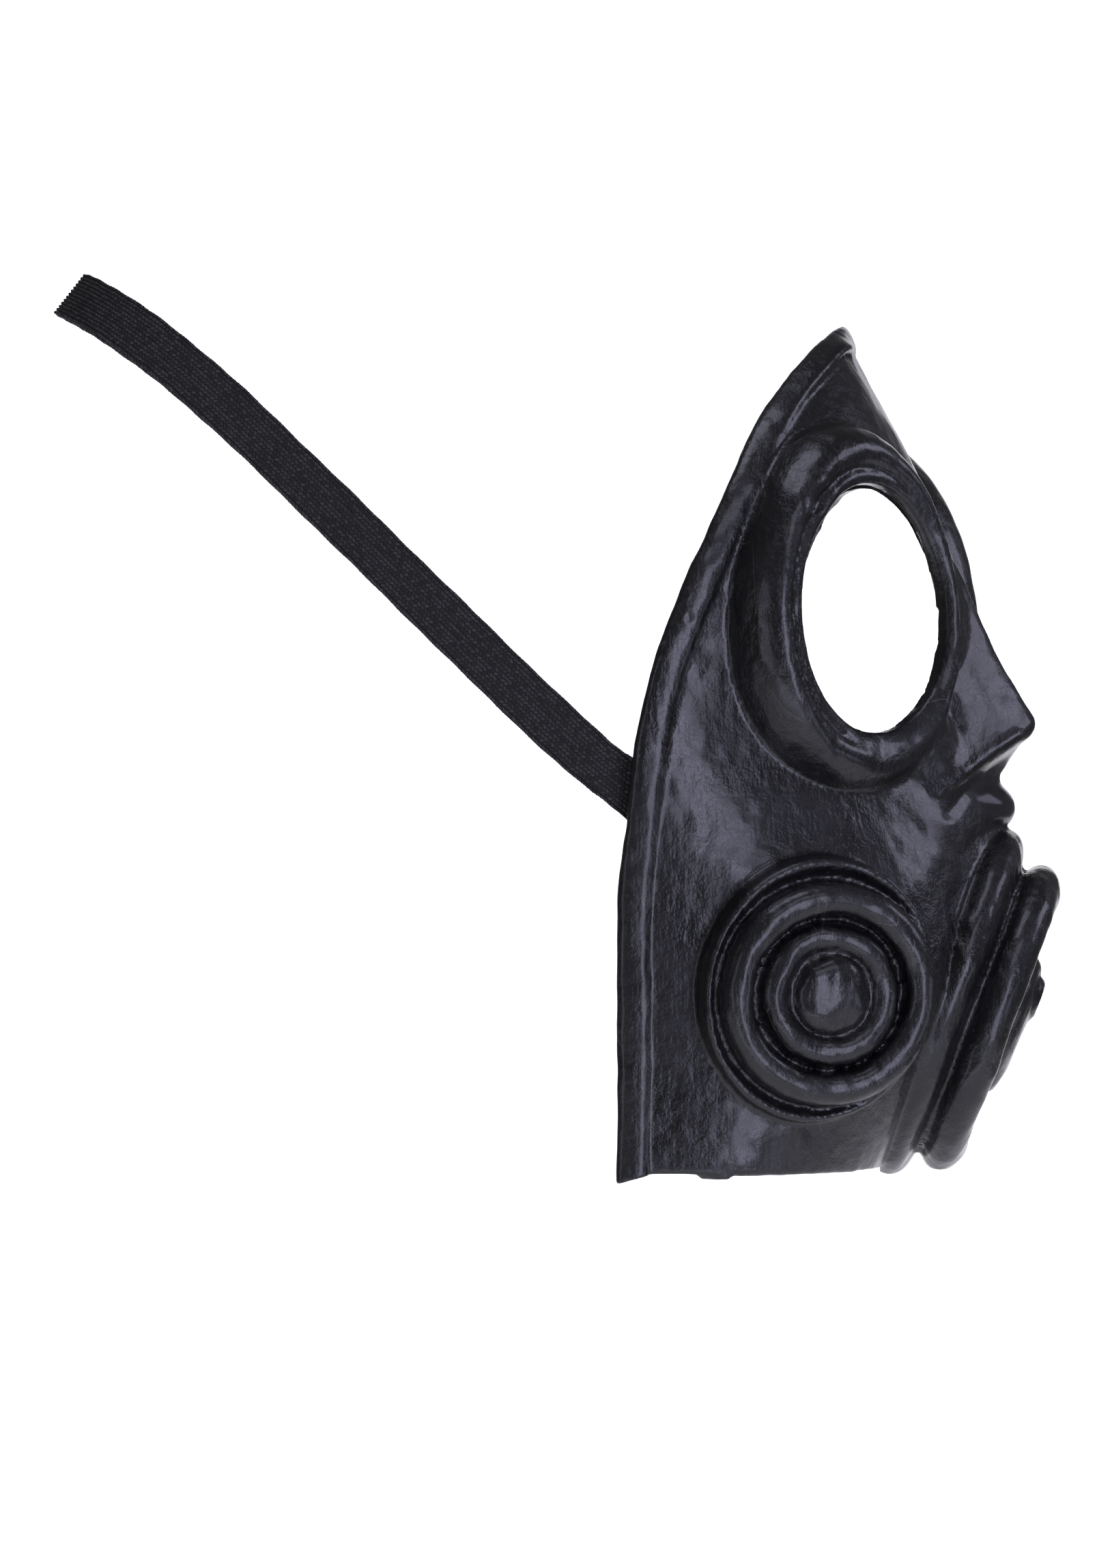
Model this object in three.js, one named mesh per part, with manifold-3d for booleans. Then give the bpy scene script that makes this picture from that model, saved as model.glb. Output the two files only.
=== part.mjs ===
// Gas mask style costume mask: a hollow moulded latex face with a rolled back edge, two open goggle
// rings, a side canister on each cheek, a ribbed snout with a valve boss, and one elastic head strap.
// Millimetres. +Z is up, the mask faces -Y, the wearer's right is -X. The origin is on the inside of
// the nose bridge at eye level.
import * as THREE from "three";
import { mergeVertices } from "three/addons/utils/BufferGeometryUtils.js";
import Module from "manifold-3d";

const wasm = await Module();
wasm.setup();

// Face: overall sizes of the moulded shell.
const FACE_HEIGHT = 245.5;
const CHIN_DROP = 163;
const FACE_DEPTH = 100;
const HALF_WIDTH = 83;
const WALL = 2.4;
const FACE_STEPS = 17;
const ACROSS_STEPS = 20;
const HOLLOW_STEPS = 13;
const HOLLOW_ACROSS_STEPS = 17;
const CROWN_START = 0.025;
const HOLLOW_START = 0.07;
const FOOT_END = 0.998;
const RIM_END = 0.985;
const ROW_SPREAD = 1.15;

// Rolled edge band that runs round the back of the shell.
const RIM_WIDTH = 8.6;
const RIM_PROUD = 1.8;
const RIM_SQUARE = 0.7;
const RIM_POINTS = 8;
const RIM_STEPS = 40;

// Goggle rings, each round an open eye hole.
const EYE_SPREAD = 47;
const EYE_SETBACK = 37;
const EYE_RISE = -1.5;
const EYE_TURN = THREE.MathUtils.degToRad(42);
const EYE_TILT = THREE.MathUtils.degToRad(3);
const GOGGLE_HALF_WIDTH = 46.5;
const GOGGLE_HALF_HEIGHT = 54;
const GOGGLE_HEIGHT = 16.5;
const HOLE_HALF_WIDTH = 28.3;
const HOLE_HALF_HEIGHT = 35.4;
const HOLE_SHIFT = 1.5;
const EGG = 0.07;
const HOLE_FRONT = 36;
const GOGGLE_STEPS = 26;

// Side canisters.
const CANISTER_HALF_WIDTH = 36;
const CANISTER_HALF_HEIGHT = 39.3;
const CANISTER_HEIGHT = 13;
const CANISTER_OUT = 68;
const CANISTER_BACK = 43;
const CANISTER_DROP = 109;
const CANISTER_TURN = THREE.MathUtils.degToRad(67);
const CANISTER_DIP = THREE.MathUtils.degToRad(7);
const CANISTER_LEAN = THREE.MathUtils.degToRad(12);
const CANISTER_STEPS = 24;

// Snout: two leaning rolls, a dished front and a valve boss with a knob.
const SNOUT_RADIUS = 53.5;
const SNOUT_LENGTH = 30;
const SNOUT_FLATTEN = 0.88;
const SNOUT_FORWARD = 5.4;
const SNOUT_DROP = 119.5;
const SNOUT_LEAN = THREE.MathUtils.degToRad(20.5);
const KNOB_RADIUS = 6.6;
const KNOB_TIP_RADIUS = 5.9;
const KNOB_HEIGHT = 4;
const KNOB_RAISE = 9.5;
const KNOB_SEAT = 9;
const KNOB_STEPS = 16;
const SNOUT_STEPS = 28;

// Nose and upper lip.
const NOSE_HEIGHT = 34;
const NOSE_REACH = 20;
const NOSE_HALF_WIDTH = 34;
const NOSE_ROOT = 0.7;
const NOSE_ROUNDING = 0.02;
const NOSE_SWEEP = 1.3;
const NOSE_STEPS = 10;
const NOSE_ACROSS_STEPS = 12;
const LIP_HALF_WIDTH = 30;
const LIP_DEPTH = 21;
const LIP_HALF_HEIGHT = 10.5;
const LIP_SETBACK = 7;
const LIP_DROP = 57;
const LIP_ROUND_STEPS = 16;
const LIP_RISE_STEPS = 10;

// Elastic strap and the staples that hold its ends.
const STRAP_WIDTH = 15;
const STRAP_THICKNESS = 1.5;
const STRAP_REACH = 167.4;
const STRAP_RISE = 145.3;
const STRAP_PLACE = 0.678;
const STRAP_LEAN = 0.044;
const SWING_START = -0.1;
const SWING_END = 0.12;
const STRAP_STEPS = 56;
const CLEARANCE = 0.3;
const STAPLE_WIRE = 1.2;
const FACET_ROOM = 1.8;

// Shell sections from the point of the crown down to the bottom edge. Level is the height above the
// bottom edge as a share of the face height, front and rim are shares of the face depth, half is a
// share of the half width, and square is the exponent of the section's superellipse.
const FACE_SECTIONS = [
  { level: 1.0, front: 0.366, rim: 0.37, half: 0.0, square: 2.0 },
  { level: 0.986, front: 0.35, rim: 0.411, half: 0.19, square: 2.0 },
  { level: 0.955, front: 0.312, rim: 0.476, half: 0.37, square: 2.0 },
  { level: 0.913, front: 0.258, rim: 0.554, half: 0.54, square: 2.0 },
  { level: 0.86, front: 0.188, rim: 0.626, half: 0.7, square: 1.9 },
  { level: 0.795, front: 0.112, rim: 0.694, half: 0.84, square: 1.7 },
  { level: 0.72, front: 0.04, rim: 0.771, half: 0.925, square: 1.5 },
  { level: 0.632, front: -0.03, rim: 0.861, half: 0.97, square: 1.42 },
  { level: 0.533, front: -0.045, rim: 0.93, half: 0.992, square: 1.45 },
  { level: 0.428, front: -0.045, rim: 0.966, half: 1.0, square: 1.6 },
  { level: 0.318, front: -0.045, rim: 0.992, half: 0.997, square: 2.15 },
  { level: 0.208, front: -0.03, rim: 0.994, half: 0.985, square: 2.6 },
  { level: 0.1, front: 0.09, rim: 0.996, half: 0.97, square: 2.6 },
  { level: 0.0, front: 0.24, rim: 1.0, half: 0.955, square: 2.5 },
];

// Nose ribs from the bridge to the fold under the tip. Ridge columns place the rib's middle and side
// columns its two ends: drop is a share of the nose height, reach of the nose reach, out of the half
// width.
const NOSE_RIBS = [
  { ridgeDrop: -0.5, ridgeReach: -0.25, out: 0.2, sideDrop: -0.42, sideReach: -0.4 },
  { ridgeDrop: -0.2, ridgeReach: -0.02, out: 0.3, sideDrop: -0.05, sideReach: -0.32 },
  { ridgeDrop: 0.22, ridgeReach: 0.3, out: 0.46, sideDrop: 0.42, sideReach: -0.3 },
  { ridgeDrop: 0.56, ridgeReach: 0.58, out: 0.66, sideDrop: 0.86, sideReach: -0.3 },
  { ridgeDrop: 0.8, ridgeReach: 0.82, out: 0.84, sideDrop: 1.2, sideReach: -0.34 },
  { ridgeDrop: 0.97, ridgeReach: 0.99, out: 0.98, sideDrop: 1.48, sideReach: -0.38 },
  { ridgeDrop: 1.08, ridgeReach: 0.95, out: 1.0, sideDrop: 1.6, sideReach: -0.42 },
  { ridgeDrop: 1.2, ridgeReach: 0.76, out: 0.94, sideDrop: 1.66, sideReach: -0.5 },
  { ridgeDrop: 1.42, ridgeReach: 0.52, out: 0.8, sideDrop: 1.72, sideReach: -0.6 },
];

// Goggle ring section. Inward is the share of the way from the outer edge to the eye hole, height is
// a share of the ring's height.
const GOGGLE_SECTION = [
  { inward: 0.0, height: -0.65 },
  { inward: 0.0, height: 0.05 },
  { inward: 0.05, height: 0.38 },
  { inward: 0.16, height: 0.7 },
  { inward: 0.33, height: 0.93 },
  { inward: 0.5, height: 1.0 },
  { inward: 0.64, height: 0.95 },
  { inward: 0.735, height: 0.81 },
  { inward: 0.8, height: 0.86 },
  { inward: 0.92, height: 0.88 },
  { inward: 1.0, height: 0.8 },
  { inward: 1.0, height: -0.65 },
];

// The hollow behind the ring, which follows its outside loosely.
const GOGGLE_HOLLOW = [
  { inward: 0.0, height: -0.65 },
  { inward: 0.0, height: 0.05 },
  { inward: 0.1, height: 0.55 },
  { inward: 0.33, height: 0.93 },
  { inward: 0.6, height: 0.95 },
  { inward: 0.85, height: 0.8 },
  { inward: 1.0, height: 0.76 },
  { inward: 1.0, height: -0.65 },
];

// Canister section from its foot to the middle of its dome. Radius is a share of the canister's half
// width, height a share of its height.
const CANISTER_SECTION = [
  { radius: 1.0, height: -0.9 },
  { radius: 1.0, height: 0.12 },
  { radius: 0.97, height: 0.3 },
  { radius: 0.9, height: 0.38 },
  { radius: 0.865, height: 0.6 },
  { radius: 0.84, height: 0.84 },
  { radius: 0.76, height: 0.98 },
  { radius: 0.67, height: 0.96 },
  { radius: 0.59, height: 0.62 },
  { radius: 0.56, height: 0.62 },
  { radius: 0.52, height: 0.92 },
  { radius: 0.44, height: 1.0 },
  { radius: 0.35, height: 0.88 },
  { radius: 0.3, height: 0.62 },
  { radius: 0.27, height: 0.66 },
  { radius: 0.2, height: 0.94 },
  { radius: 0.0, height: 1.06 },
];

// The hollow of the canister, before it is moved in by the wall.
const CANISTER_HOLLOW = [
  { radius: 0.93, height: -0.82 },
  { radius: 0.9, height: 0.18 },
  { radius: 0.82, height: 0.96 },
  { radius: 0.74, height: 0.62 },
  { radius: 0.0, height: 0.62 },
];

// Snout section from its root to the middle of its front. Radius is a share of the snout's radius and
// ahead a share of its length, measured from the middle of the front roll.
const SNOUT_SECTION = [
  { radius: 0.9, ahead: -1.4 },
  { radius: 0.9, ahead: -0.62 },
  { radius: 0.965, ahead: -0.54 },
  { radius: 1.0, ahead: -0.4 },
  { radius: 0.965, ahead: -0.25 },
  { radius: 0.86, ahead: -0.175 },
  { radius: 0.82, ahead: -0.15 },
  { radius: 0.85, ahead: -0.1 },
  { radius: 0.88, ahead: 0.06 },
  { radius: 0.84, ahead: 0.2 },
  { radius: 0.74, ahead: 0.27 },
  { radius: 0.62, ahead: 0.23 },
  { radius: 0.52, ahead: 0.17 },
  { radius: 0.42, ahead: 0.2 },
  { radius: 0.36, ahead: 0.31 },
  { radius: 0.24, ahead: 0.38 },
  { radius: 0.0, ahead: 0.4 },
];

// The hollow of the snout, which follows the rolls loosely.
const SNOUT_HOLLOW = [
  { radius: 0.9, ahead: -1.4 },
  { radius: 0.9, ahead: -0.6 },
  { radius: 0.99, ahead: -0.4 },
  { radius: 0.86, ahead: -0.21 },
  { radius: 0.81, ahead: -0.14 },
  { radius: 0.86, ahead: 0.06 },
  { radius: 0.74, ahead: 0.23 },
  { radius: 0.44, ahead: 0.17 },
  { radius: 0.0, ahead: 0.28 },
];

// Near half of the strap's course, from its stapled end to the turn at the back. Reach and rise are
// shares of the strap's reach and rise past the rim, out is a share of the half width inside the
// shell, and pitch is the slope of the band in degrees.
const STRAP_COURSE = [
  { reach: -0.14, rise: -0.135, out: 1.0, pitch: 40 },
  { reach: -0.07, rise: -0.067, out: 1.0, pitch: 40 },
  { reach: 0.0, rise: 0.0, out: 1.0, pitch: 40.5 },
  { reach: 0.076, rise: 0.07, out: 0.955, pitch: 41.5 },
  { reach: 0.201, rise: 0.204, out: 0.885, pitch: 43 },
  { reach: 0.326, rise: 0.343, out: 0.815, pitch: 44 },
  { reach: 0.452, rise: 0.484, out: 0.745, pitch: 44.5 },
  { reach: 0.579, rise: 0.626, out: 0.67, pitch: 44 },
  { reach: 0.707, rise: 0.765, out: 0.585, pitch: 43 },
  { reach: 0.81, rise: 0.865, out: 0.5, pitch: 41.5 },
  { reach: 0.9, rise: 0.94, out: 0.38, pitch: 39.5 },
  { reach: 0.968, rise: 0.985, out: 0.22, pitch: 38.5 },
  { reach: 1.0, rise: 1.0, out: 0.0, pitch: 38.5 },
];

const LATEX = { color: 0x17181c, roughness: 0.28, metalness: 0.0 };
const ELASTIC = { color: 0x0d0d0f, roughness: 0.9, metalness: 0.0 };
const STEEL = { color: 0xb5b7ba, roughness: 0.4, metalness: 1.0 };

// Overlap of cutting and joining bodies past the walls they meet.
const MARGIN = 40;

// Value of a column at a place from 0 to 1 along its rows, on a smooth curve through them. The
// column is mirrored past its first row with the given sign.
function column(rows, key, place, mirrorSign = 1) {
  const last = rows.length - 1;
  const at = THREE.MathUtils.clamp(place, 0, 1) * last;
  const i = Math.min(Math.floor(at), last - 1);
  const u = at - i;
  const p1 = rows[i][key];
  const p2 = rows[i + 1][key];
  const p0 = i > 0 ? rows[i - 1][key] : mirrorSign * rows[1][key];
  const p3 = i + 2 <= last ? rows[i + 2][key] : 2 * p2 - p1;
  const bend = 2 * p0 - 5 * p1 + 4 * p2 - p3;
  const twist = 3 * (p1 - p2) + p3 - p0;
  return 0.5 * (2 * p1 + (p2 - p0) * u + bend * u * u + twist * u * u * u);
}

// Rings of equally many points, joined into one closed body with a flat fan on each end ring, or
// joined end to end where the body is itself a ring.
function ringsToGeometry(rings, endless = false) {
  const count = rings[0].length;
  const positions = rings.flat().flatMap((p) => [p.x, p.y, p.z]);
  const index = [];
  const bands = endless ? rings.length : rings.length - 1;
  for (let i = 0; i < bands; i++) {
    const here = i * count;
    const next = ((i + 1) % rings.length) * count;
    for (let j = 0; j < count; j++) {
      const k = (j + 1) % count;
      index.push(here + j, next + j, next + k, here + j, next + k, here + k);
    }
  }
  if (!endless) {
    for (const [ring, turned] of [[rings[0], false], [rings.at(-1), true]]) {
      const centre = ring.reduce((sum, p) => sum.add(p), new THREE.Vector3()).divideScalar(count);
      const tip = positions.length / 3;
      positions.push(centre.x, centre.y, centre.z);
      const start = turned ? (rings.length - 1) * count : 0;
      for (let j = 0; j < count; j++) {
        const k = (j + 1) % count;
        index.push(...(turned ? [tip, start + k, start + j] : [tip, start + j, start + k]));
      }
    }
  }
  const geometry = new THREE.BufferGeometry();
  geometry.setAttribute("position", new THREE.Float32BufferAttribute(positions, 3));
  geometry.setIndex(index);
  return geometry;
}

// Closed geometry as a manifold solid. A mirrored or inward-facing one is turned round first.
function solid(geometry) {
  const bare = geometry.clone();
  bare.deleteAttribute("normal");
  bare.deleteAttribute("uv");
  const merged = mergeVertices(bare, 1e-4);
  const corners = merged.index.array;
  const points = merged.attributes.position.array;
  let volume = 0;
  const [a, b, c] = [new THREE.Vector3(), new THREE.Vector3(), new THREE.Vector3()];
  const kept = [];
  for (let i = 0; i < corners.length; i += 3) {
    const [ia, ib, ic] = [corners[i], corners[i + 1], corners[i + 2]];
    if (ia === ib || ib === ic || ia === ic) {
      continue;
    }
    a.fromArray(points, 3 * ia);
    b.fromArray(points, 3 * ib);
    c.fromArray(points, 3 * ic);
    volume += a.dot(b.cross(c));
    kept.push(ia, ib, ic);
  }
  if (volume < 0) {
    for (let i = 0; i < kept.length; i += 3) {
      [kept[i + 1], kept[i + 2]] = [kept[i + 2], kept[i + 1]];
    }
  }
  const mesh = new wasm.Mesh({
    numProp: 3,
    vertProperties: Float32Array.from(points),
    triVerts: Uint32Array.from(kept),
  });
  return new wasm.Manifold(mesh);
}

function geometryOf(body) {
  const { numProp, vertProperties, triVerts } = body.getMesh();
  const positions = [];
  for (let i = 0; i < vertProperties.length; i += numProp) {
    positions.push(vertProperties[i], vertProperties[i + 1], vertProperties[i + 2]);
  }
  const geometry = new THREE.BufferGeometry();
  geometry.setAttribute("position", new THREE.Float32BufferAttribute(positions, 3));
  geometry.setIndex(Array.from(triVerts));
  geometry.computeVertexNormals();
  return geometry;
}

// Outward normal of a surface that is given by two parameters.
function outwardAt(surface, u, v) {
  const step = 0.002;
  const alongU = surface(u + step, v).sub(surface(u - step, v));
  const alongV = surface(u, v + step).sub(surface(u, v - step));
  return alongU.cross(alongV).normalize();
}

// Surface point moved inwards along the normal, for the inside of a wall.
function insetPoint(surface, u, v, inset) {
  return surface(u, v).addScaledVector(outwardAt(surface, u, v), -inset);
}

// Shell surface: down from 0 at the crown to 1 at the bottom edge, across from -1 at the wearer's
// right rim to 1 at the left one.
function facePoint(down, across) {
  const half = HALF_WIDTH * column(FACE_SECTIONS, "half", down, -1);
  const front = FACE_DEPTH * column(FACE_SECTIONS, "front", down);
  const rim = FACE_DEPTH * column(FACE_SECTIONS, "rim", down);
  const z = FACE_HEIGHT * column(FACE_SECTIONS, "level", down) - CHIN_DROP;
  const power = 2 / column(FACE_SECTIONS, "square", down);
  const angle = (across * Math.PI) / 2;
  const side = Math.sign(angle) * Math.abs(Math.sin(angle)) ** power;
  const ahead = Math.max(Math.cos(angle), 0) ** power;
  return new THREE.Vector3(half * side, rim - (rim - front) * ahead, z);
}

// Closed head form that runs on behind the rim and, for the hollow, below the bottom edge.
function headForm(inset) {
  const rings = [];
  const start = inset > 0 ? HOLLOW_START : CROWN_START;
  const downSteps = inset > 0 ? HOLLOW_STEPS : FACE_STEPS;
  const acrossSteps = inset > 0 ? HOLLOW_ACROSS_STEPS : ACROSS_STEPS;
  for (let i = 0; i <= downSteps; i++) {
    const down = THREE.MathUtils.lerp(start, FOOT_END, (i / downSteps) ** ROW_SPREAD);
    const ring = [];
    for (let j = 0; j <= acrossSteps; j++) {
      const across = THREE.MathUtils.lerp(-RIM_END, RIM_END, j / acrossSteps);
      ring.push(insetPoint(facePoint, down, across, inset));
    }
    const back = FACE_DEPTH + MARGIN;
    ring.push(new THREE.Vector3(ring.at(-1).x, back, ring.at(-1).z));
    ring.push(new THREE.Vector3(ring[0].x, back, ring[0].z));
    rings.push(ring);
  }
  const foot = inset > 0 ? MARGIN / 2 : 1;
  rings.push(rings.at(-1).map((p) => p.clone().setZ(-CHIN_DROP - foot)));
  return solid(ringsToGeometry(rings));
}

// Block with the side outline of the shell: the rim line, the bottom edge and room in front.
function sideBlock() {
  const outline = new THREE.Shape();
  outline.moveTo(-FACE_DEPTH, -CHIN_DROP);
  for (let i = RIM_STEPS; i >= 0; i--) {
    const rim = facePoint(i / RIM_STEPS, 1);
    outline.lineTo(rim.y, rim.z);
  }
  outline.lineTo(-FACE_DEPTH, FACE_HEIGHT - CHIN_DROP);
  const width = 2 * HALF_WIDTH + MARGIN;
  const block = new THREE.ExtrudeGeometry(outline, { depth: width, bevelEnabled: false });
  const turn = new THREE.Matrix4().makeBasis(
    new THREE.Vector3(0, 1, 0),
    new THREE.Vector3(0, 0, 1),
    new THREE.Vector3(1, 0, 0),
  );
  return solid(block.applyMatrix4(turn.setPosition(-width / 2, 0, 0)));
}

// Rolled band along the rim, from the right bottom corner over the crown to the left one.
function rimBand() {
  const rings = [];
  const centre = (place) => {
    const down = Math.abs(place);
    const point = facePoint(Math.max(down, 0.001), 1);
    point.x *= place < 0 ? -1 : 1;
    return point;
  };
  for (let i = 0; i <= RIM_STEPS; i++) {
    const place = THREE.MathUtils.lerp(-1, 1, i / RIM_STEPS);
    const here = centre(place);
    const along = centre(place + 0.01).sub(centre(place - 0.01)).normalize();
    if (Math.abs(place) > 0.99) {
      along.set(0, 0, Math.sign(-place));
    }
    const beside = Math.min(Math.max(Math.abs(place), 0.08), 0.97);
    const outward = outwardAt(facePoint, 0.03, 0);
    outward.lerp(
      outwardAt(facePoint, beside, 0.93 * Math.sign(place)),
      THREE.MathUtils.smoothstep(Math.abs(place), 0, 0.12),
    );
    outward.addScaledVector(along, -outward.dot(along)).normalize();
    const forward = new THREE.Vector3().crossVectors(along, outward).normalize();
    const ring = [];
    for (let j = 0; j < RIM_POINTS; j++) {
      const angle = (2 * Math.PI * j) / RIM_POINTS;
      const wide = Math.sign(Math.cos(angle)) * Math.abs(Math.cos(angle)) ** RIM_SQUARE;
      const thick = Math.sign(Math.sin(angle)) * Math.abs(Math.sin(angle)) ** RIM_SQUARE;
      ring.push(
        here
          .clone()
          .addScaledVector(forward, (RIM_WIDTH / 2) * (1 + wide))
          .addScaledVector(outward, (RIM_PROUD - WALL) / 2 + ((RIM_PROUD + WALL) / 2) * thick),
      );
    }
    rings.push(ring);
  }
  return solid(ringsToGeometry(rings));
}

// Nose surface: down along the ribs, across from one side to the other.
function nosePoint(down, across) {
  const ridgeZ = -NOSE_HEIGHT * column(NOSE_RIBS, "ridgeDrop", down);
  const ridgeY = -NOSE_REACH * column(NOSE_RIBS, "ridgeReach", down);
  const sideX = NOSE_HALF_WIDTH * column(NOSE_RIBS, "out", down);
  const sideZ = -NOSE_HEIGHT * column(NOSE_RIBS, "sideDrop", down);
  const sideY = -NOSE_REACH * column(NOSE_RIBS, "sideReach", down);
  const away = Math.abs(across);
  const fall = Math.sqrt(away * away + NOSE_ROUNDING) - Math.sqrt(NOSE_ROUNDING);
  return new THREE.Vector3(
    sideX * across,
    THREE.MathUtils.lerp(ridgeY, sideY, fall),
    THREE.MathUtils.lerp(ridgeZ, sideZ, away ** NOSE_SWEEP),
  );
}

function nose(inset) {
  const rings = [];
  for (let i = 0; i <= NOSE_STEPS; i++) {
    const ring = [];
    for (let j = 0; j <= NOSE_ACROSS_STEPS; j++) {
      const across = THREE.MathUtils.lerp(-1, 1, j / NOSE_ACROSS_STEPS);
      const down = THREE.MathUtils.lerp(0.01, 0.99, i / NOSE_STEPS);
      ring.push(insetPoint(nosePoint, down, across, inset));
    }
    const root = MARGIN / 2;
    ring.push(new THREE.Vector3(ring.at(-1).x * NOSE_ROOT, root, ring.at(-1).z));
    ring.push(new THREE.Vector3(ring[0].x * NOSE_ROOT, root, ring[0].z));
    rings.push(ring);
  }
  return solid(ringsToGeometry(rings));
}

function lip(inset) {
  const ball = new THREE.SphereGeometry(1, LIP_ROUND_STEPS, LIP_RISE_STEPS);
  ball.scale(LIP_HALF_WIDTH - inset, LIP_DEPTH - inset, LIP_HALF_HEIGHT - inset);
  return solid(ball.translate(0, LIP_SETBACK, -LIP_DROP));
}

// Local frame of a part that is set on the shell: x across, y up, z outwards.
function frameOn(side, out, back, up, turn, tilt, lean = 0) {
  const matrix = new THREE.Matrix4().makeRotationFromEuler(
    new THREE.Euler(Math.PI / 2 - tilt, 0, side * turn, "ZXY"),
  );
  matrix.multiply(new THREE.Matrix4().makeRotationZ(side * lean));
  return matrix.setPosition(side * out, back, up);
}

// Egg outline that is narrower at the top, at an angle round the eye.
function egg(angle, halfWidth, halfHeight, shift) {
  const rise = Math.sin(angle);
  const across = halfWidth * Math.cos(angle) * (1 - EGG * rise) + shift;
  return new THREE.Vector2(across, halfHeight * rise);
}

function goggleRing(side, inset) {
  const radial = GOGGLE_HALF_WIDTH - HOLE_HALF_WIDTH;
  const section = inset > 0 ? GOGGLE_HOLLOW : GOGGLE_SECTION;
  const trim = inset / radial;
  const rings = [];
  for (let i = 0; i < GOGGLE_STEPS; i++) {
    const angle = (2 * Math.PI * i) / GOGGLE_STEPS;
    const outer = egg(angle, GOGGLE_HALF_WIDTH, GOGGLE_HALF_HEIGHT, 0);
    const hole = egg(angle, HOLE_HALF_WIDTH, HOLE_HALF_HEIGHT, -side * HOLE_SHIFT);
    rings.push(
      section.map(({ inward, height }) => {
        const share = THREE.MathUtils.lerp(trim, 1 - trim, inward);
        const flat = outer.clone().lerp(hole, share);
        const lift = height > 0 ? GOGGLE_HEIGHT * height - inset : GOGGLE_HEIGHT * height;
        return new THREE.Vector3(flat.x, flat.y, Math.max(lift, -GOGGLE_HEIGHT));
      }),
    );
  }
  const frame = frameOn(side, EYE_SPREAD, EYE_SETBACK, EYE_RISE, EYE_TURN, EYE_TILT);
  return solid(ringsToGeometry(rings, true).applyMatrix4(frame));
}

function eyeHole(side) {
  const points = [];
  for (let i = 0; i < GOGGLE_STEPS; i++) {
    const angle = (2 * Math.PI * i) / GOGGLE_STEPS;
    const [halfWidth, halfHeight] = [HOLE_HALF_WIDTH - CLEARANCE, HOLE_HALF_HEIGHT - CLEARANCE];
    points.push(egg(angle, halfWidth, halfHeight, -side * HOLE_SHIFT));
  }
  const outline = new THREE.Shape(points);
  const depth = HOLE_FRONT + MARGIN / 2;
  const cutter = new THREE.ExtrudeGeometry(outline, { depth, bevelEnabled: false });
  cutter.translate(0, 0, -MARGIN / 2);
  const frame = frameOn(side, EYE_SPREAD, EYE_SETBACK, EYE_RISE, EYE_TURN, EYE_TILT);
  return solid(cutter.applyMatrix4(frame));
}

// Body turned from a section about its own z axis, stretched to an oval.
function turned(section, steps, stretch) {
  const profile = section.map(([radius, height]) => new THREE.Vector2(radius, height));
  profile.unshift(new THREE.Vector2(0, profile[0].y));
  const body = new THREE.LatheGeometry(profile, steps);
  body.rotateX(Math.PI / 2);
  return body.scale(1, stretch, 1);
}

function canister(side, inset) {
  const stretch = CANISTER_HALF_HEIGHT / CANISTER_HALF_WIDTH;
  const rows = inset > 0 ? CANISTER_HOLLOW : CANISTER_SECTION;
  const section = rows.map(({ radius, height }) => [
    Math.max(CANISTER_HALF_WIDTH * radius - inset, 0),
    CANISTER_HEIGHT * height - inset,
  ]);
  const body = turned(section, CANISTER_STEPS, stretch);
  const frame = frameOn(side, CANISTER_OUT, CANISTER_BACK, -CANISTER_DROP, CANISTER_TURN,
    -CANISTER_DIP, CANISTER_LEAN);
  return solid(body.applyMatrix4(frame));
}

function snout(inset) {
  const rows = inset > 0 ? SNOUT_HOLLOW : SNOUT_SECTION;
  const points = rows.map((row) => new THREE.Vector2(SNOUT_RADIUS * row.radius,
    SNOUT_LENGTH * row.ahead));
  const section = points.map((p, i) => {
    const before = points[Math.max(i - 1, 0)];
    const after = points[Math.min(i + 1, points.length - 1)];
    const along = after.clone().sub(before).normalize();
    return [Math.max(p.x - inset * along.y, 0), p.y + inset * along.x];
  });
  section.at(-1)[0] = 0;
  const body = turned(section, SNOUT_STEPS, 1).scale(SNOUT_FLATTEN, 1, 1);
  return solid(body.applyMatrix4(snoutFrame()));
}

function snoutFrame() {
  return frameOn(1, 0, -SNOUT_FORWARD, -SNOUT_DROP, 0, -SNOUT_LEAN);
}

function knob() {
  const body = new THREE.CylinderGeometry(KNOB_TIP_RADIUS, KNOB_RADIUS, KNOB_HEIGHT, KNOB_STEPS);
  body.rotateX(Math.PI / 2).translate(0, KNOB_RAISE, KNOB_SEAT + KNOB_HEIGHT / 2);
  return solid(body.applyMatrix4(snoutFrame()));
}

// The moulded face: every outer form joined, less every inner form and the eye holes.
function faceShell() {
  let outside = headForm(0).intersect(sideBlock()).add(rimBand());
  outside = outside.add(nose(0)).add(lip(0)).add(snout(0)).add(knob());
  let inside = headForm(WALL).add(nose(WALL)).add(lip(WALL)).add(snout(WALL));
  for (const side of [-1, 1]) {
    outside = outside.add(goggleRing(side, 0)).add(canister(side, 0));
    inside = inside.add(goggleRing(side, WALL)).add(canister(side, WALL)).add(eyeHole(side));
  }
  return outside.subtract(inside);
}

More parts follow.
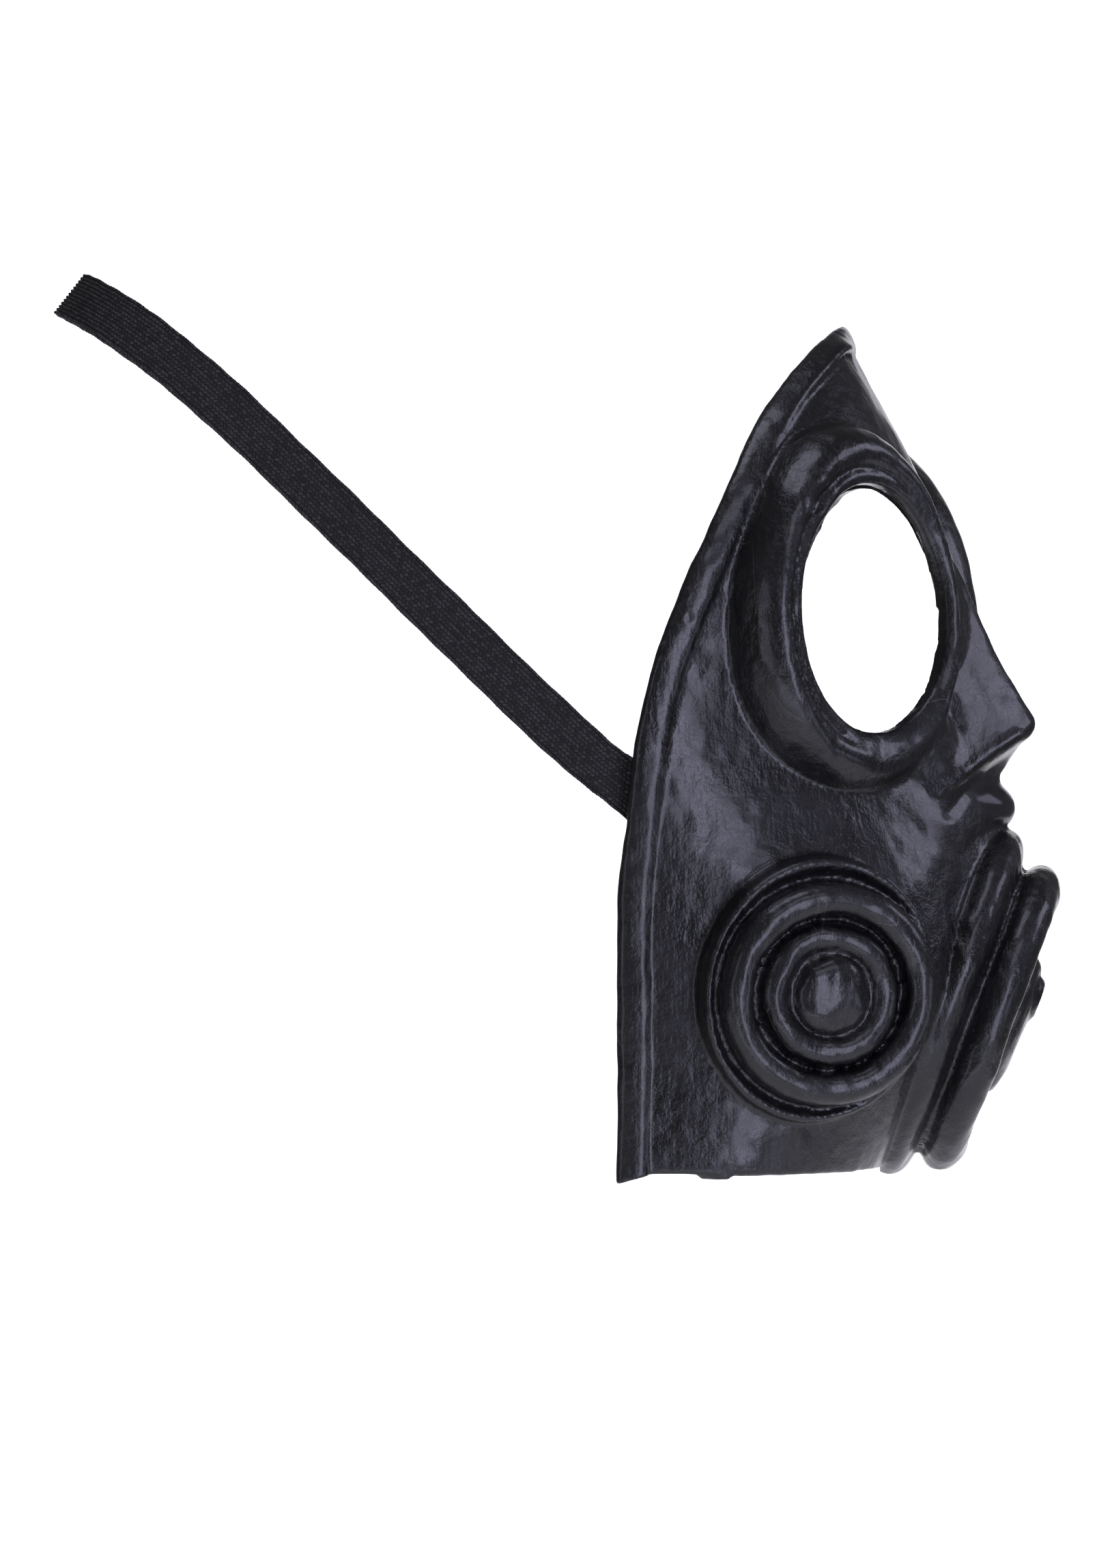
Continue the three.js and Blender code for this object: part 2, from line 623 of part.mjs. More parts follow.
// Distance from the centre plane to the inside of the shell, at a place behind its front.
function wallInside(y, z) {
  let [top, bottom] = [0, 1];
  let [front, back] = [0, 1];
  for (let i = 0; i < 30; i++) {
    const down = (top + bottom) / 2;
    [top, bottom] = facePoint(down, 0).z > z ? [down, bottom] : [top, down];
  }
  for (let i = 0; i < 30; i++) {
    const across = (front + back) / 2;
    [front, back] = facePoint(top, across).y < y ? [across, back] : [front, across];
  }
  return insetPoint(facePoint, top, Math.min(front, RIM_END), WALL).x;
}

// Place of a row of the strap's course. Inside the shell the band lies along the wall, and past the
// rim its left arm swings back a little.
function strapStop(row, side) {
  const exit = facePoint(STRAP_PLACE, 1);
  const y = exit.y + STRAP_REACH * row.reach;
  const z = exit.z + STRAP_RISE * row.rise;
  const pitch = THREE.MathUtils.degToRad(row.pitch);
  const room = CLEARANCE + FACET_ROOM + STRAP_THICKNESS / 2;
  const reach = STRAP_WIDTH / 2 + CLEARANCE + STAPLE_WIRE;
  const walls = [-1, 0, 1].map((edge) => {
    const [dy, dz] = [-Math.sin(pitch) * edge * reach, Math.cos(pitch) * edge * reach];
    return wallInside(Math.min(y + dy, exit.y), z + dz);
  });
  const out = row.reach > 0 ? row.out * (HALF_WIDTH - WALL - room) : Math.min(...walls) - room;
  const past = THREE.MathUtils.smoothstep(row.reach, SWING_START, SWING_END);
  const swing = side > 0 ? 2 * out * STRAP_LEAN * past : 0;
  return { point: new THREE.Vector3(side * out, y + swing, z), pitch };
}

// Stops of the strap's course, round from the right end to the left one.
function strapCourse() {
  const near = STRAP_COURSE.map((row) => strapStop(row, -1));
  const far = STRAP_COURSE.slice(0, -1).reverse().map((row) => strapStop(row, 1));
  return near.concat(far);
}

function elasticStrap() {
  const course = strapCourse();
  const curve = new THREE.CatmullRomCurve3(course.map((stop) => stop.point), false, "centripetal");
  const rings = [];
  for (let i = 0; i <= STRAP_STEPS; i++) {
    const t = i / STRAP_STEPS;
    const stop = t * (course.length - 1);
    const k = Math.min(Math.floor(stop), course.length - 2);
    const pitch = THREE.MathUtils.lerp(course[k].pitch, course[k + 1].pitch, stop - k);
    const tangent = curve.getTangent(t);
    const wide = new THREE.Vector3(0, -Math.sin(pitch), Math.cos(pitch));
    wide.addScaledVector(tangent, -wide.dot(tangent)).normalize();
    const thick = new THREE.Vector3().crossVectors(tangent, wide);
    const centre = curve.getPoint(t);
    rings.push(
      [[-1, -1], [1, -1], [1, 1], [-1, 1]].map(([w, h]) =>
        centre
          .clone()
          .addScaledVector(wide, (w * STRAP_WIDTH) / 2)
          .addScaledVector(thick, (h * STRAP_THICKNESS) / 2),
      ),
    );
  }
  return solid(ringsToGeometry(rings));
}

// Flat wire staple over the strap, its two legs short of the shell's inner wall.
function staple(side) {
  const stop = strapStop(STRAP_COURSE[1], side);
  const [before, after] = [0, 2].map((row) => strapStop(STRAP_COURSE[row], side).point);
  const along = after.sub(before).normalize();
  const wide = new THREE.Vector3(0, -Math.sin(stop.pitch), Math.cos(stop.pitch));
  wide.addScaledVector(along, -wide.dot(along)).normalize();
  const outwards = new THREE.Vector3().crossVectors(along, wide).multiplyScalar(-side);
  const inner = -(STRAP_THICKNESS / 2 + CLEARANCE);
  const legEnd = -CLEARANCE;
  const halfLength = STRAP_WIDTH / 2 + CLEARANCE + STAPLE_WIRE;
  const outline = new THREE.Shape();
  outline.moveTo(-halfLength, inner - STAPLE_WIRE);
  outline.lineTo(halfLength, inner - STAPLE_WIRE);
  outline.lineTo(halfLength, legEnd);
  outline.lineTo(halfLength - STAPLE_WIRE, legEnd);
  outline.lineTo(halfLength - STAPLE_WIRE, inner);
  outline.lineTo(STAPLE_WIRE - halfLength, inner);
  outline.lineTo(STAPLE_WIRE - halfLength, legEnd);
  outline.lineTo(-halfLength, legEnd);
  const wire = new THREE.ExtrudeGeometry(outline, { depth: STAPLE_WIRE, bevelEnabled: false });
  wire.translate(0, 0, -STAPLE_WIRE / 2);
  const across = new THREE.Vector3().crossVectors(wide, outwards);
  const frame = new THREE.Matrix4().makeBasis(wide, outwards, across).setPosition(stop.point);
  return solid(wire.applyMatrix4(frame));
}

function piece(name, body, finish) {
  const mesh = new THREE.Mesh(geometryOf(body), new THREE.MeshStandardMaterial(finish));
  mesh.name = name;
  return mesh;
}

const mask = new THREE.Group();
mask.add(piece("face_shell", faceShell(), LATEX));
mask.add(piece("elastic_strap", elasticStrap(), ELASTIC));
mask.add(piece("staple_right", staple(-1), STEEL));
mask.add(piece("staple_left", staple(1), STEEL));

export default mask;
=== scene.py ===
"""Looks of the gas mask style costume mask: a hollow moulded face of glossy black latex with open goggle
rings, cheek canisters and a ribbed snout, and a knitted elastic strap stapled inside its rim.
The sizes of the mask's own pieces are in millimetres, and their meshes are written in metres. Places of
camera, lamps and paper are in metres."""
import math

import bpy
import numpy as np
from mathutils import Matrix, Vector


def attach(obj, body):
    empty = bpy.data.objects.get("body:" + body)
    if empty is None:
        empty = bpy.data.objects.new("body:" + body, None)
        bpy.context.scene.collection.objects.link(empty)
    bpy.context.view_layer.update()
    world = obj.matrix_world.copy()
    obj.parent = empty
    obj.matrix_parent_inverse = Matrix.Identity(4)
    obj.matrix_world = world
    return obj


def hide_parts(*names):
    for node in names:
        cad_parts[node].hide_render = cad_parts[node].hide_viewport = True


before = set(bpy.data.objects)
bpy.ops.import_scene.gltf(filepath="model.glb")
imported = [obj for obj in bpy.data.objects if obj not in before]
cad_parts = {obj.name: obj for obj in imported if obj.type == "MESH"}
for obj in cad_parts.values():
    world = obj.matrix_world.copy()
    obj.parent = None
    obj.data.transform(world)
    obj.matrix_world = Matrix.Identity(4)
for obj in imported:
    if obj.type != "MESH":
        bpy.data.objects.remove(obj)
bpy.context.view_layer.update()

# Camera
# Level with the mask and 2.6 m away on the wearer's right, turned 2.5 degrees so that both eye holes
# line up. At the nose bridge one pixel of a 2296 pixel high picture is 0.2 mm.
CAMERA_TURN = math.radians(2.5)
CAMERA_DISTANCE = 2.6
PICTURE_HEIGHT = 2296 * 0.0002
# Middle of the picture: its height and how far it lies behind the nose bridge.
MIDDLE_HEIGHT, MIDDLE_BACK = -0.0516, 0.1225
camera_ahead = Vector((math.cos(CAMERA_TURN), math.sin(CAMERA_TURN), 0))
camera_right = Vector((math.sin(CAMERA_TURN), -math.cos(CAMERA_TURN), 0))
camera_data = bpy.data.cameras.new("camera")
camera_data.lens = camera_data.sensor_width * CAMERA_DISTANCE / PICTURE_HEIGHT
camera = bpy.data.objects.new("camera", camera_data)
camera.location = Vector((0, 0, MIDDLE_HEIGHT)) - MIDDLE_BACK * camera_right - CAMERA_DISTANCE * camera_ahead
camera.rotation_euler = camera_ahead.to_track_quat("-Z", "Y").to_euler()
bpy.context.collection.objects.link(camera)
bpy.context.scene.camera = camera
bpy.context.scene.view_settings.view_transform = "Standard"


# Light and floor
# A white paper sweep under and behind the mask, soft boxes round the wearer's right and the front from
# low to high, one overhead, and a dim pale surround that fills the dark side.
def hex_colour(code):
    """Linear colour of an sRGB hex code."""
    parts = [int(code[i:i + 2], 16) / 255 for i in (1, 3, 5)]
    linear = [p / 12.92 if p <= 0.04045 else ((p + 0.055) / 1.055) ** 2.4 for p in parts]
    return (*linear, 1.0)


def add_node(tree, kind, settings=None, **links):
    """New node with its settings. Each link gives a named input, or input i0, i1 and so on by number, a
    value or another node's output."""
    node = tree.nodes.new(kind)
    for name, value in (settings or {}).items():
        setattr(node, name, value)
    for name, value in links.items():
        key = int(name[1:]) if name[0] == "i" and name[1:].isdigit() else name.replace("_", " ")
        socket = node.inputs[key]
        if isinstance(value, bpy.types.NodeSocket):
            tree.links.new(value, socket)
        else:
            socket.default_value = value
    return node


def new_material(name):
    """Empty node material and its tree."""
    material = bpy.data.materials.new(name)
    material.use_nodes = True
    material.node_tree.nodes.clear()
    return material, material.node_tree


def soft_box(name, place, aim, width, height, watts, colour):
    """Rectangular area lamp at a place that looks at another place."""
    data = bpy.data.lights.new(name, "AREA")
    data.shape = "RECTANGLE"
    data.size, data.size_y = width, height
    data.energy = watts
    data.color = hex_colour(colour)[:3]
    lamp = bpy.data.objects.new(name, data)
    lamp.location = place
    lamp.rotation_euler = (Vector(aim) - Vector(place)).to_track_quat("-Z", "Y").to_euler()
    bpy.context.collection.objects.link(lamp)


# Place, place looked at, width, height, watts and colour. The places come from where the face's curved
# surfaces mirror them in the photograph: a tall box ahead of the cheek, one behind it for the rim, and
# smaller ones for the goggle ring, the nose, the snout, the top edge and the lower shell.
LAMPS = {
    "box_front": ((-1.46, -0.86, -0.14), (0, 0, -0.03), 0.55, 1.3, 11.0, "#e0dfff"),
    "box_high": ((-1.2, -0.5, 0.95), (0, 0, -0.03), 0.7, 0.4, 2.2, "#e6e4ff"),
    "box_nose": ((0.25, -1.5, 0.7), (0, -0.02, -0.03), 0.6, 0.6, 4.2, "#e2e0ff"),
    "box_back": ((-1.25, 1.05, -0.1), (0, 0.06, -0.02), 0.35, 1.3, 2.3, "#e9e6ff"),
    "box_chin": ((-0.4, -1.5, -0.45), (0, 0.02, -0.08), 0.5, 0.35, 1.0, "#e0dfff"),
    "box_top": ((-0.3, 0.2, 1.4), (-0.05, 0.05, 0), 0.7, 0.7, 4.5, "#e6e6ff"),
    "box_low": ((-1.0, 0.1, -0.8), (0, 0.06, -0.12), 1.0, 0.3, 2, "#e6e6ff"),
}
for name, settings in LAMPS.items():
    soft_box(name, *settings)

SURROUND_COLOUR, SURROUND_STRENGTH = "#e9ebef", 0.11
world = bpy.data.worlds.new("surround")
bpy.context.scene.world = world
world.use_nodes = True
world.node_tree.nodes["Background"].inputs["Color"].default_value = hex_colour(SURROUND_COLOUR)
world.node_tree.nodes["Background"].inputs["Strength"].default_value = SURROUND_STRENGTH

# Seamless background paper: matt white coated paper on a roll. It glows to an even bright white behind
# the mask, as paper lit from its own side does, and is left dimmer under it.
paper, tree = new_material("seamless_white_paper")
paper_place = add_node(tree, "ShaderNodeTexCoord").outputs["Object"]
paper_x = add_node(tree, "ShaderNodeSeparateXYZ", None, Vector=paper_place).outputs["X"]
backlit = add_node(tree, "ShaderNodeMapRange", None, Value=paper_x, From_Min=0.6, From_Max=1.25,
                   To_Min=0.35, To_Max=1.0)
shader = add_node(tree, "ShaderNodeBsdfPrincipled", None, Base_Color=hex_colour("#f7f7f8"),
                  Roughness=0.9, Emission_Color=hex_colour("#fcfcff"), Emission_Strength=backlit.outputs[0])
add_node(tree, "ShaderNodeOutputMaterial", None, Surface=shader.outputs[0])

FLOOR_LEVEL, FLOOR_START, BEND_START, BEND_RADIUS, WALL_HEIGHT = -0.42, -0.45, 1.1, 0.5, 1.1
PAPER_EDGES = (-0.5, 0.85)
bend = np.linspace(0.1, math.pi / 2, 12)
sweep_profile = [(FLOOR_START, 0.0), (BEND_START, 0.0)]
sweep_profile += [
    (BEND_START + BEND_RADIUS * math.sin(a), BEND_RADIUS - BEND_RADIUS * math.cos(a)) for a in bend
]
sweep_profile.append((BEND_START + BEND_RADIUS, WALL_HEIGHT))
sweep_mesh = bpy.data.meshes.new("paper_sweep")
sweep_mesh.from_pydata(
    [(x, y, FLOOR_LEVEL + z) for x, z in sweep_profile for y in PAPER_EDGES],
    [],
    [(2 * i, 2 * i + 2, 2 * i + 3, 2 * i + 1) for i in range(len(sweep_profile) - 1)],
)
sweep_mesh.flip_normals()
sweep_mesh.shade_smooth()
sweep = bpy.data.objects.new("paper_sweep", sweep_mesh)
sweep.data.materials.append(paper)
bpy.context.collection.objects.link(sweep)


# Latex face: outer form
# The face is one hollow casting of latex, slushed in a plaster mould. The mould was taken from this clay
# form: a pointed head form with a rolled rim, a wedge nose, an upper lip, two goggle rings, two canisters
# and the snout, all run into one skin.
def column(values, place, mirror=1.0):
    """Smooth curve through a table column, at places from 0 to 1; mirrored past its first row."""
    values = np.asarray(values, float)
    last = len(values) - 1
    at = np.clip(place, 0, 1) * last
    i = np.minimum(np.floor(at).astype(int), last - 1)
    u = at - i
    row = np.concatenate([[mirror * values[1]], values, [2 * values[-1] - values[-2]]])
    p0, p1, p2, p3 = row[i], row[i + 1], row[i + 2], row[i + 3]
    bend = 2 * p0 - 5 * p1 + 4 * p2 - p3
    twist = 3 * (p1 - p2) + p3 - p0
    return 0.5 * (2 * p1 + (p2 - p0) * u + bend * u * u + twist * u**3)


def smooth_table(rows, steps):
    """Table of two columns run through again with more rows."""
    table = np.array(rows, float)
    place = np.linspace(0, 1, steps)
    return np.stack([column(table[:, 0], place, -1 if table[0, 0] == 0 else 1),
                     column(table[:, 1], place)], axis=1)


def unit(vectors):
    """Vectors at length one."""
    return vectors / np.maximum(np.linalg.norm(vectors, axis=-1, keepdims=True), 1e-9)


def closed(rings, endless=False):
    """Closed mesh of rings of points, as (points, faces), with a fan on each end or joined end to end."""
    n, m = rings.shape[:2]
    points = list(map(tuple, rings.reshape(-1, 3)))
    faces = []
    for i in range(n if endless else n - 1):
        a, b = i * m, ((i + 1) % n) * m
        faces += [(a + j, b + j, b + (j + 1) % m, a + (j + 1) % m) for j in range(m)]
    if not endless:
        for ring, start, step in ((rings[0], 0, 1), (rings[-1], (n - 1) * m, -1)):
            points.append(tuple(ring.mean(axis=0)))
            tip = len(points) - 1
            faces += [(tip, start + j, start + (j + step) % m) for j in range(m)]
    return points, faces


def inset(surface, u, v, depth):
    """Points of a surface of two parameters, moved in along its normal."""
    if depth == 0:
        return surface(u, v)
    step = 0.002
    along_u = surface(u + step, v) - surface(u - step, v)
    along_v = surface(u, v + step) - surface(u, v - step)
    return surface(u, v) - depth * unit(np.cross(along_u, along_v))


FACE_HEIGHT, CHIN_DROP, FACE_DEPTH, HALF_WIDTH, WALL = 245.5, 163.0, 100.0, 83.0, 2.4
# Level above the bottom edge, front line, rim line, half width, roundness of the section.
FACE_SECTIONS = np.array([
    (1.0, 0.366, 0.37, 0.0, 2.0),
    (0.986, 0.35, 0.411, 0.19, 2.0),
    (0.955, 0.312, 0.476, 0.37, 2.0),
    (0.913, 0.258, 0.554, 0.54, 2.0),
    (0.86, 0.188, 0.626, 0.7, 1.9),
    (0.795, 0.112, 0.694, 0.84, 1.7),
    (0.72, 0.04, 0.771, 0.925, 1.5),
    (0.632, -0.03, 0.861, 0.97, 1.42),
    (0.533, -0.06, 0.93, 0.992, 1.42),
    (0.428, -0.105, 0.966, 1.0, 1.6),
    (0.318, -0.07, 0.992, 0.997, 2.1),
    (0.208, -0.03, 0.994, 0.985, 2.6),
    (0.1, 0.09, 0.996, 0.97, 2.6),
    (0.0, 0.24, 1.0, 0.955, 2.5),
])


def face_point(down, across):
    """Point of the head form: down from 0 at the crown to 1 at the edge, across from -1 to 1."""
    half = HALF_WIDTH * column(FACE_SECTIONS[:, 3], down, -1)
    front = FACE_DEPTH * column(FACE_SECTIONS[:, 1], down)
    rim = FACE_DEPTH * column(FACE_SECTIONS[:, 2], down)
    z = FACE_HEIGHT * column(FACE_SECTIONS[:, 0], down) - CHIN_DROP
    power = 2 / column(FACE_SECTIONS[:, 4], down)
    angle = across * np.pi / 2
    side = np.sign(angle) * np.abs(np.sin(angle)) ** power
    ahead = np.maximum(np.cos(angle), 0) ** power
    return np.stack(np.broadcast_arrays(half * side, rim - (rim - front) * ahead, z), axis=-1)


HOLLOW_PAST_RIM, HOLLOW_BELOW_EDGE = 40, 20


def head_form(depth):
    """Closed head form; the hollow one runs on past the rim and the bottom edge."""
    first, last = (0.07, 0.998) if depth else (0.004, 1.0)
    reach = 0.985 if depth else 1.0
    down = np.linspace(first, last, 150)[:, None]
    across = np.linspace(-reach, reach, 181)[None, :]
    rings = inset(face_point, down, across, depth)
    if depth:
        back = rings[:, [-1, 0]].copy()
        back[..., 1] = FACE_DEPTH + HOLLOW_PAST_RIM
        rings = np.concatenate([rings, back], axis=1)
        foot = rings[-1:].copy()
        foot[..., 2] = -CHIN_DROP - HOLLOW_BELOW_EDGE
        rings = np.concatenate([rings, foot], axis=0)
    return closed(rings)


RIM_WIDTH, RIM_PROUD, RIM_FOOT_DROP, RIM_FOOT_FLARE = 9.2, 2.0, 2.6, 1.1
# Power of the roll's section; 1 is an oval and less is squarer.
RIM_ROUNDNESS = 0.75


def rim_band():
    """Rolled edge along the rim, flared a little at its two feet."""
    place = np.linspace(-1, 1, 221)

    def centre(at):
        """Line of the rim, from the right foot over the crown to the left one."""
        point = face_point(np.clip(np.abs(at), 0.001, 1), np.ones_like(at))
        point[..., 0] *= np.sign(at)
        return point

    here = centre(place)
    along = unit(centre(place + 0.01) - centre(place - 0.01))
    along[np.abs(place) > 0.99] = 0
    along[place > 0.99, 2] = -1
    along[place < -0.99, 2] = 1
    beside = np.clip(np.abs(place), 0.08, 0.97)

    def outward(down, across):
        """Direction out of the head form."""
        step = 0.002
        u = face_point(down + step, across) - face_point(down - step, across)
        v = face_point(down, across + step) - face_point(down, across - step)
        return unit(np.cross(u, v))

    blend = np.clip(np.abs(place) / 0.12, 0, 1)
    blend = (blend * blend * (3 - 2 * blend))[:, None]
    top = outward(np.full_like(place, 0.03), np.zeros_like(place))
    out = top * (1 - blend) + blend * outward(beside, 0.93 * np.sign(place + 1e-9))
    out = unit(out - along * np.sum(out * along, axis=1, keepdims=True))
    forward = unit(np.cross(along, out))
    angle = np.linspace(0, 2 * np.pi, 20, endpoint=False)
    wide = np.sign(np.cos(angle)) * np.abs(np.cos(angle)) ** RIM_ROUNDNESS
    thick = np.sign(np.sin(angle)) * np.abs(np.sin(angle)) ** RIM_ROUNDNESS
    rings = (here[:, None] + forward[:, None] * (RIM_WIDTH / 2 * (1 + wide))[None, :, None]
             + out[:, None] * ((RIM_PROUD - WALL) / 2 + (RIM_PROUD + WALL) / 2 * thick)[None, :, None])
    foot = np.clip((np.abs(place) - 0.965) / 0.035, 0, 1)[:, None] ** 2
    rings[..., 2] -= RIM_FOOT_DROP * foot * (1 - 0.42 * (1 + wide))
    rings[..., 0] += RIM_FOOT_FLARE * foot * np.sign(place)[:, None]
    return closed(rings)


FLASH_CORNERS, FLASH_LEVELS = [(-75.6, 67.6), (-76.0, 76.4), (-74.2, 76.4), (-73.8, 67.6)], (-164.6, -160.0)


def flash_tab():
    """Tab of latex left at the parting line of the mould, under the right bottom edge."""
    return closed(np.array([[(x, y, z) for x, y in FLASH_CORNERS] for z in FLASH_LEVELS]))


NOSE_HEIGHT, NOSE_REACH, NOSE_HALF_WIDTH = 34.0, 20.0, 34.0
# How far back the root of the nose runs into the head form, and its width there.
NOSE_ROOT, NOSE_ROOT_SHARE = 20, 0.7
# Rounding of the ridge, as a share of the half width squared.
RIDGE_ROUNDING = 0.02
# Drop and reach of the ridge, half width, drop and reach of the sides.
NOSE_RIBS = np.array([
    (-0.5, -0.25, 0.2, -0.42, -0.4),
    (-0.2, -0.02, 0.3, -0.05, -0.32),
    (0.22, 0.3, 0.46, 0.42, -0.3),
    (0.56, 0.58, 0.66, 0.86, -0.3),
    (0.8, 0.82, 0.84, 1.2, -0.34),
    (0.97, 0.99, 0.98, 1.48, -0.38),
    (1.08, 0.95, 1.0, 1.6, -0.42),
    (1.2, 0.76, 0.94, 1.66, -0.5),
    (1.42, 0.52, 0.8, 1.72, -0.6),
])


def nose_point(down, across):
    """Point of the nose: down from 0 at the root to 1 at the lip, across from -1 to 1."""
    ridge_z = -NOSE_HEIGHT * column(NOSE_RIBS[:, 0], down)
    ridge_y = -NOSE_REACH * column(NOSE_RIBS[:, 1], down)
    side_x = NOSE_HALF_WIDTH * column(NOSE_RIBS[:, 2], down)
    side_z = -NOSE_HEIGHT * column(NOSE_RIBS[:, 3], down)
    side_y = -NOSE_REACH * column(NOSE_RIBS[:, 4], down)
    away = np.abs(across)
    fall = np.sqrt(away**2 + RIDGE_ROUNDING) - math.sqrt(RIDGE_ROUNDING)
    return np.stack(np.broadcast_arrays(
        side_x * across,
        ridge_y + (side_y - ridge_y) * fall,
        ridge_z + (side_z - ridge_z) * away**1.3,
    ), axis=-1)


def nose(depth):
    """Wedge nose, closed towards the head form."""
    down = np.linspace(0.01, 0.99, 60)[:, None]
    across = np.linspace(-1, 1, 81)[None, :]
    rings = inset(nose_point, down, across, depth)
    root = rings[:, [-1, 0]].copy()
    root[..., 0] *= NOSE_ROOT_SHARE
    root[..., 1] = NOSE_ROOT
    return closed(np.concatenate([rings, root], axis=1))


def turned(section, steps=160, stretch=(1, 1), shift=None):
    """Body of a section of (radius, height) rows turned about z, with its two ends closed."""
    angle = np.linspace(0, 2 * np.pi, steps, endpoint=False)
    radius, height = section[:, 0][:, None], section[:, 1][:, None]
    rings = np.stack(np.broadcast_arrays(
        stretch[0] * radius * np.cos(angle), stretch[1] * radius * np.sin(angle), height), axis=-1).copy()
    if shift is not None:
        rings[..., :2] += shift[:, None, :]
    return closed(rings)


def frame_on(side, out, back, up, turn, tilt, lean=0.0):
    """Matrix of a part set on the shell: local x across, y up, z outwards."""
    a, b, c = side * math.radians(turn), math.pi / 2 - math.radians(tilt), side * math.radians(lean)
    rz = np.array([[math.cos(a), -math.sin(a), 0], [math.sin(a), math.cos(a), 0], [0, 0, 1]])
    rx = np.array([[1, 0, 0], [0, math.cos(b), -math.sin(b)], [0, math.sin(b), math.cos(b)]])
    rl = np.array([[math.cos(c), -math.sin(c), 0], [math.sin(c), math.cos(c), 0], [0, 0, 1]])
    return rz @ rx @ rl, np.array([side * out, back, up])


def put(part, frame_matrix):
    """Part (points, faces) moved into its place."""
    turn, place = frame_matrix
    points = np.array(part[0]) @ turn.T + place
    return points, part[1]


def eye_frame(side):
    """Place of a goggle ring, turned out 47 degrees and tilted up 3."""
    return frame_on(side, 47.0, 37.0, -1.5, 47, 3)


GOGGLE_HALF_WIDTH, GOGGLE_HALF_HEIGHT, GOGGLE_HEIGHT = 41.5, 54.0, 16.5
HOLE_HALF_WIDTH, HOLE_HALF_HEIGHT, HOLE_SHIFT, EGG = 30.6, 35.6, 4.5, 0.07
NOSE_SIDE_DROP = 0.2
# Differences of the left ring: wider hole, more reach over the nose.
LEFT_HOLE_WIDER, LEFT_HOLE_TALLER, LEFT_RING_REACH = 2.2, 2.0, 4.8
# Share of the way from the outer edge to the eye hole, share of the ring's height; the last one before
# the wall of the hole is the height of its edge.
GOGGLE_SECTION = [(0.0, -0.65), (0.0, -0.3), (0.0, 0.05), (0.025, 0.26), (0.05, 0.4), (0.1, 0.57),
                  (0.16, 0.7), (0.24, 0.83), (0.33, 0.93), (0.42, 0.985), (0.5, 1.0), (0.58, 0.985),
                  (0.64, 0.94), (0.69, 0.86), (0.725, 0.79), (0.76, 0.8), (0.79, 0.86), (0.85, 0.89),
                  (0.92, 0.88), (0.98, 0.83), (1.0, 0.74), (1.0, 0.3), (1.0, -0.2), (1.0, -0.65)]
CREST_SHARE, HOLE_EDGE_SHARE = 0.5, 0.74
# The hollow runs on past the edge of the hole, so that only a thin lip is left round it.
GOGGLE_HOLLOW = [(0.0, -0.65), (0.0, -0.3), (0.0, 0.05), (0.1, 0.55), (0.33, 0.9), (0.6, 0.9), (0.85, 0.8),
                 (1.05, 0.76), (1.3, 0.7), (1.6, 0.6), (1.6, 0.0), (1.6, -0.65)]


def egg(angle, half_width, half_height, shift):
    """Oval that is a little wider below, as (across, up) points."""
    across = half_width * np.cos(angle) * (1 - EGG * np.sin(angle)) + shift
    return np.stack([across, half_height * np.sin(angle)], axis=-1)


def goggle_outlines(side, angle):
    """Outer edge of a goggle ring and edge of its eye hole."""
    left = float(side > 0)
    reach, wider, taller = left * LEFT_RING_REACH, left * LEFT_HOLE_WIDER, left * LEFT_HOLE_TALLER
    outer = egg(angle, GOGGLE_HALF_WIDTH + reach, GOGGLE_HALF_HEIGHT, -reach)
    hole = egg(angle, HOLE_HALF_WIDTH + wider, HOLE_HALF_HEIGHT + taller, -side * (HOLE_SHIFT - wider))
    return outer, hole


def plain_roll(section):
    """Heights of the ring's section where it runs down to the hole without the groove."""
    share, height = section[:, 0], section[:, 1]
    fall = 1 - (1 - HOLE_EDGE_SHARE) * ((share - CREST_SHARE) / (1 - CREST_SHARE)) ** 2
    near_edge = np.minimum(height, fall)
    return np.where(share < CREST_SHARE, height, np.where(share < 0.985, fall, near_edge))


def groove_fade(side, angle):
    """From 0 on the temple side, where the ring has a groove, to 1 beside the nose and below."""
    share = np.clip(0.5 - 0.55 * side * np.cos(angle) - 0.35 * np.sin(angle), 0, 1)
    return share * share * (3 - 2 * share)


def goggle_ring(side, depth):
    """Round roll of a goggle with a step and a lip towards the hole, lower beside the nose."""
    section = smooth_table(GOGGLE_HOLLOW if depth else GOGGLE_SECTION, 70)
    trim = depth / (GOGGLE_HALF_WIDTH - HOLE_HALF_WIDTH)
    angle = np.linspace(0, 2 * np.pi, 240, endpoint=False)
    outer, hole = goggle_outlines(side, angle)
    share = trim + (1 - 2 * trim) * section[:, 0]
    flat = outer[:, None] + (hole - outer)[:, None] * share[None, :, None]
    low = 1 - NOSE_SIDE_DROP * (1 - side * np.cos(angle))[:, None]
    height = GOGGLE_HEIGHT * section[:, 1]
    if not depth:
        height = height + groove_fade(side, angle)[:, None] * (GOGGLE_HEIGHT * plain_roll(section) - height)
    lift = np.where(section[:, 1] > 0, low * height - depth, height)
    rings = np.concatenate([flat, lift[..., None]], axis=-1)
    return put(closed(rings, endless=True), eye_frame(side))


CUTTER_SHARE, CUTTER_ENDS = 0.99, (-20.0, 36.0)


def eye_hole(side):
    """Straight cutter of an eye hole, a hair narrower than the ring's inner edge."""
    angle = np.linspace(0, 2 * np.pi, 160, endpoint=False)
    middle = [-side * HOLE_SHIFT, 0]
    outline = middle + (goggle_outlines(side, angle)[1] - middle) * CUTTER_SHARE
    rings = np.stack([np.column_stack([outline, np.full(len(outline), z)]) for z in CUTTER_ENDS])
    return put(closed(rings), eye_frame(side))


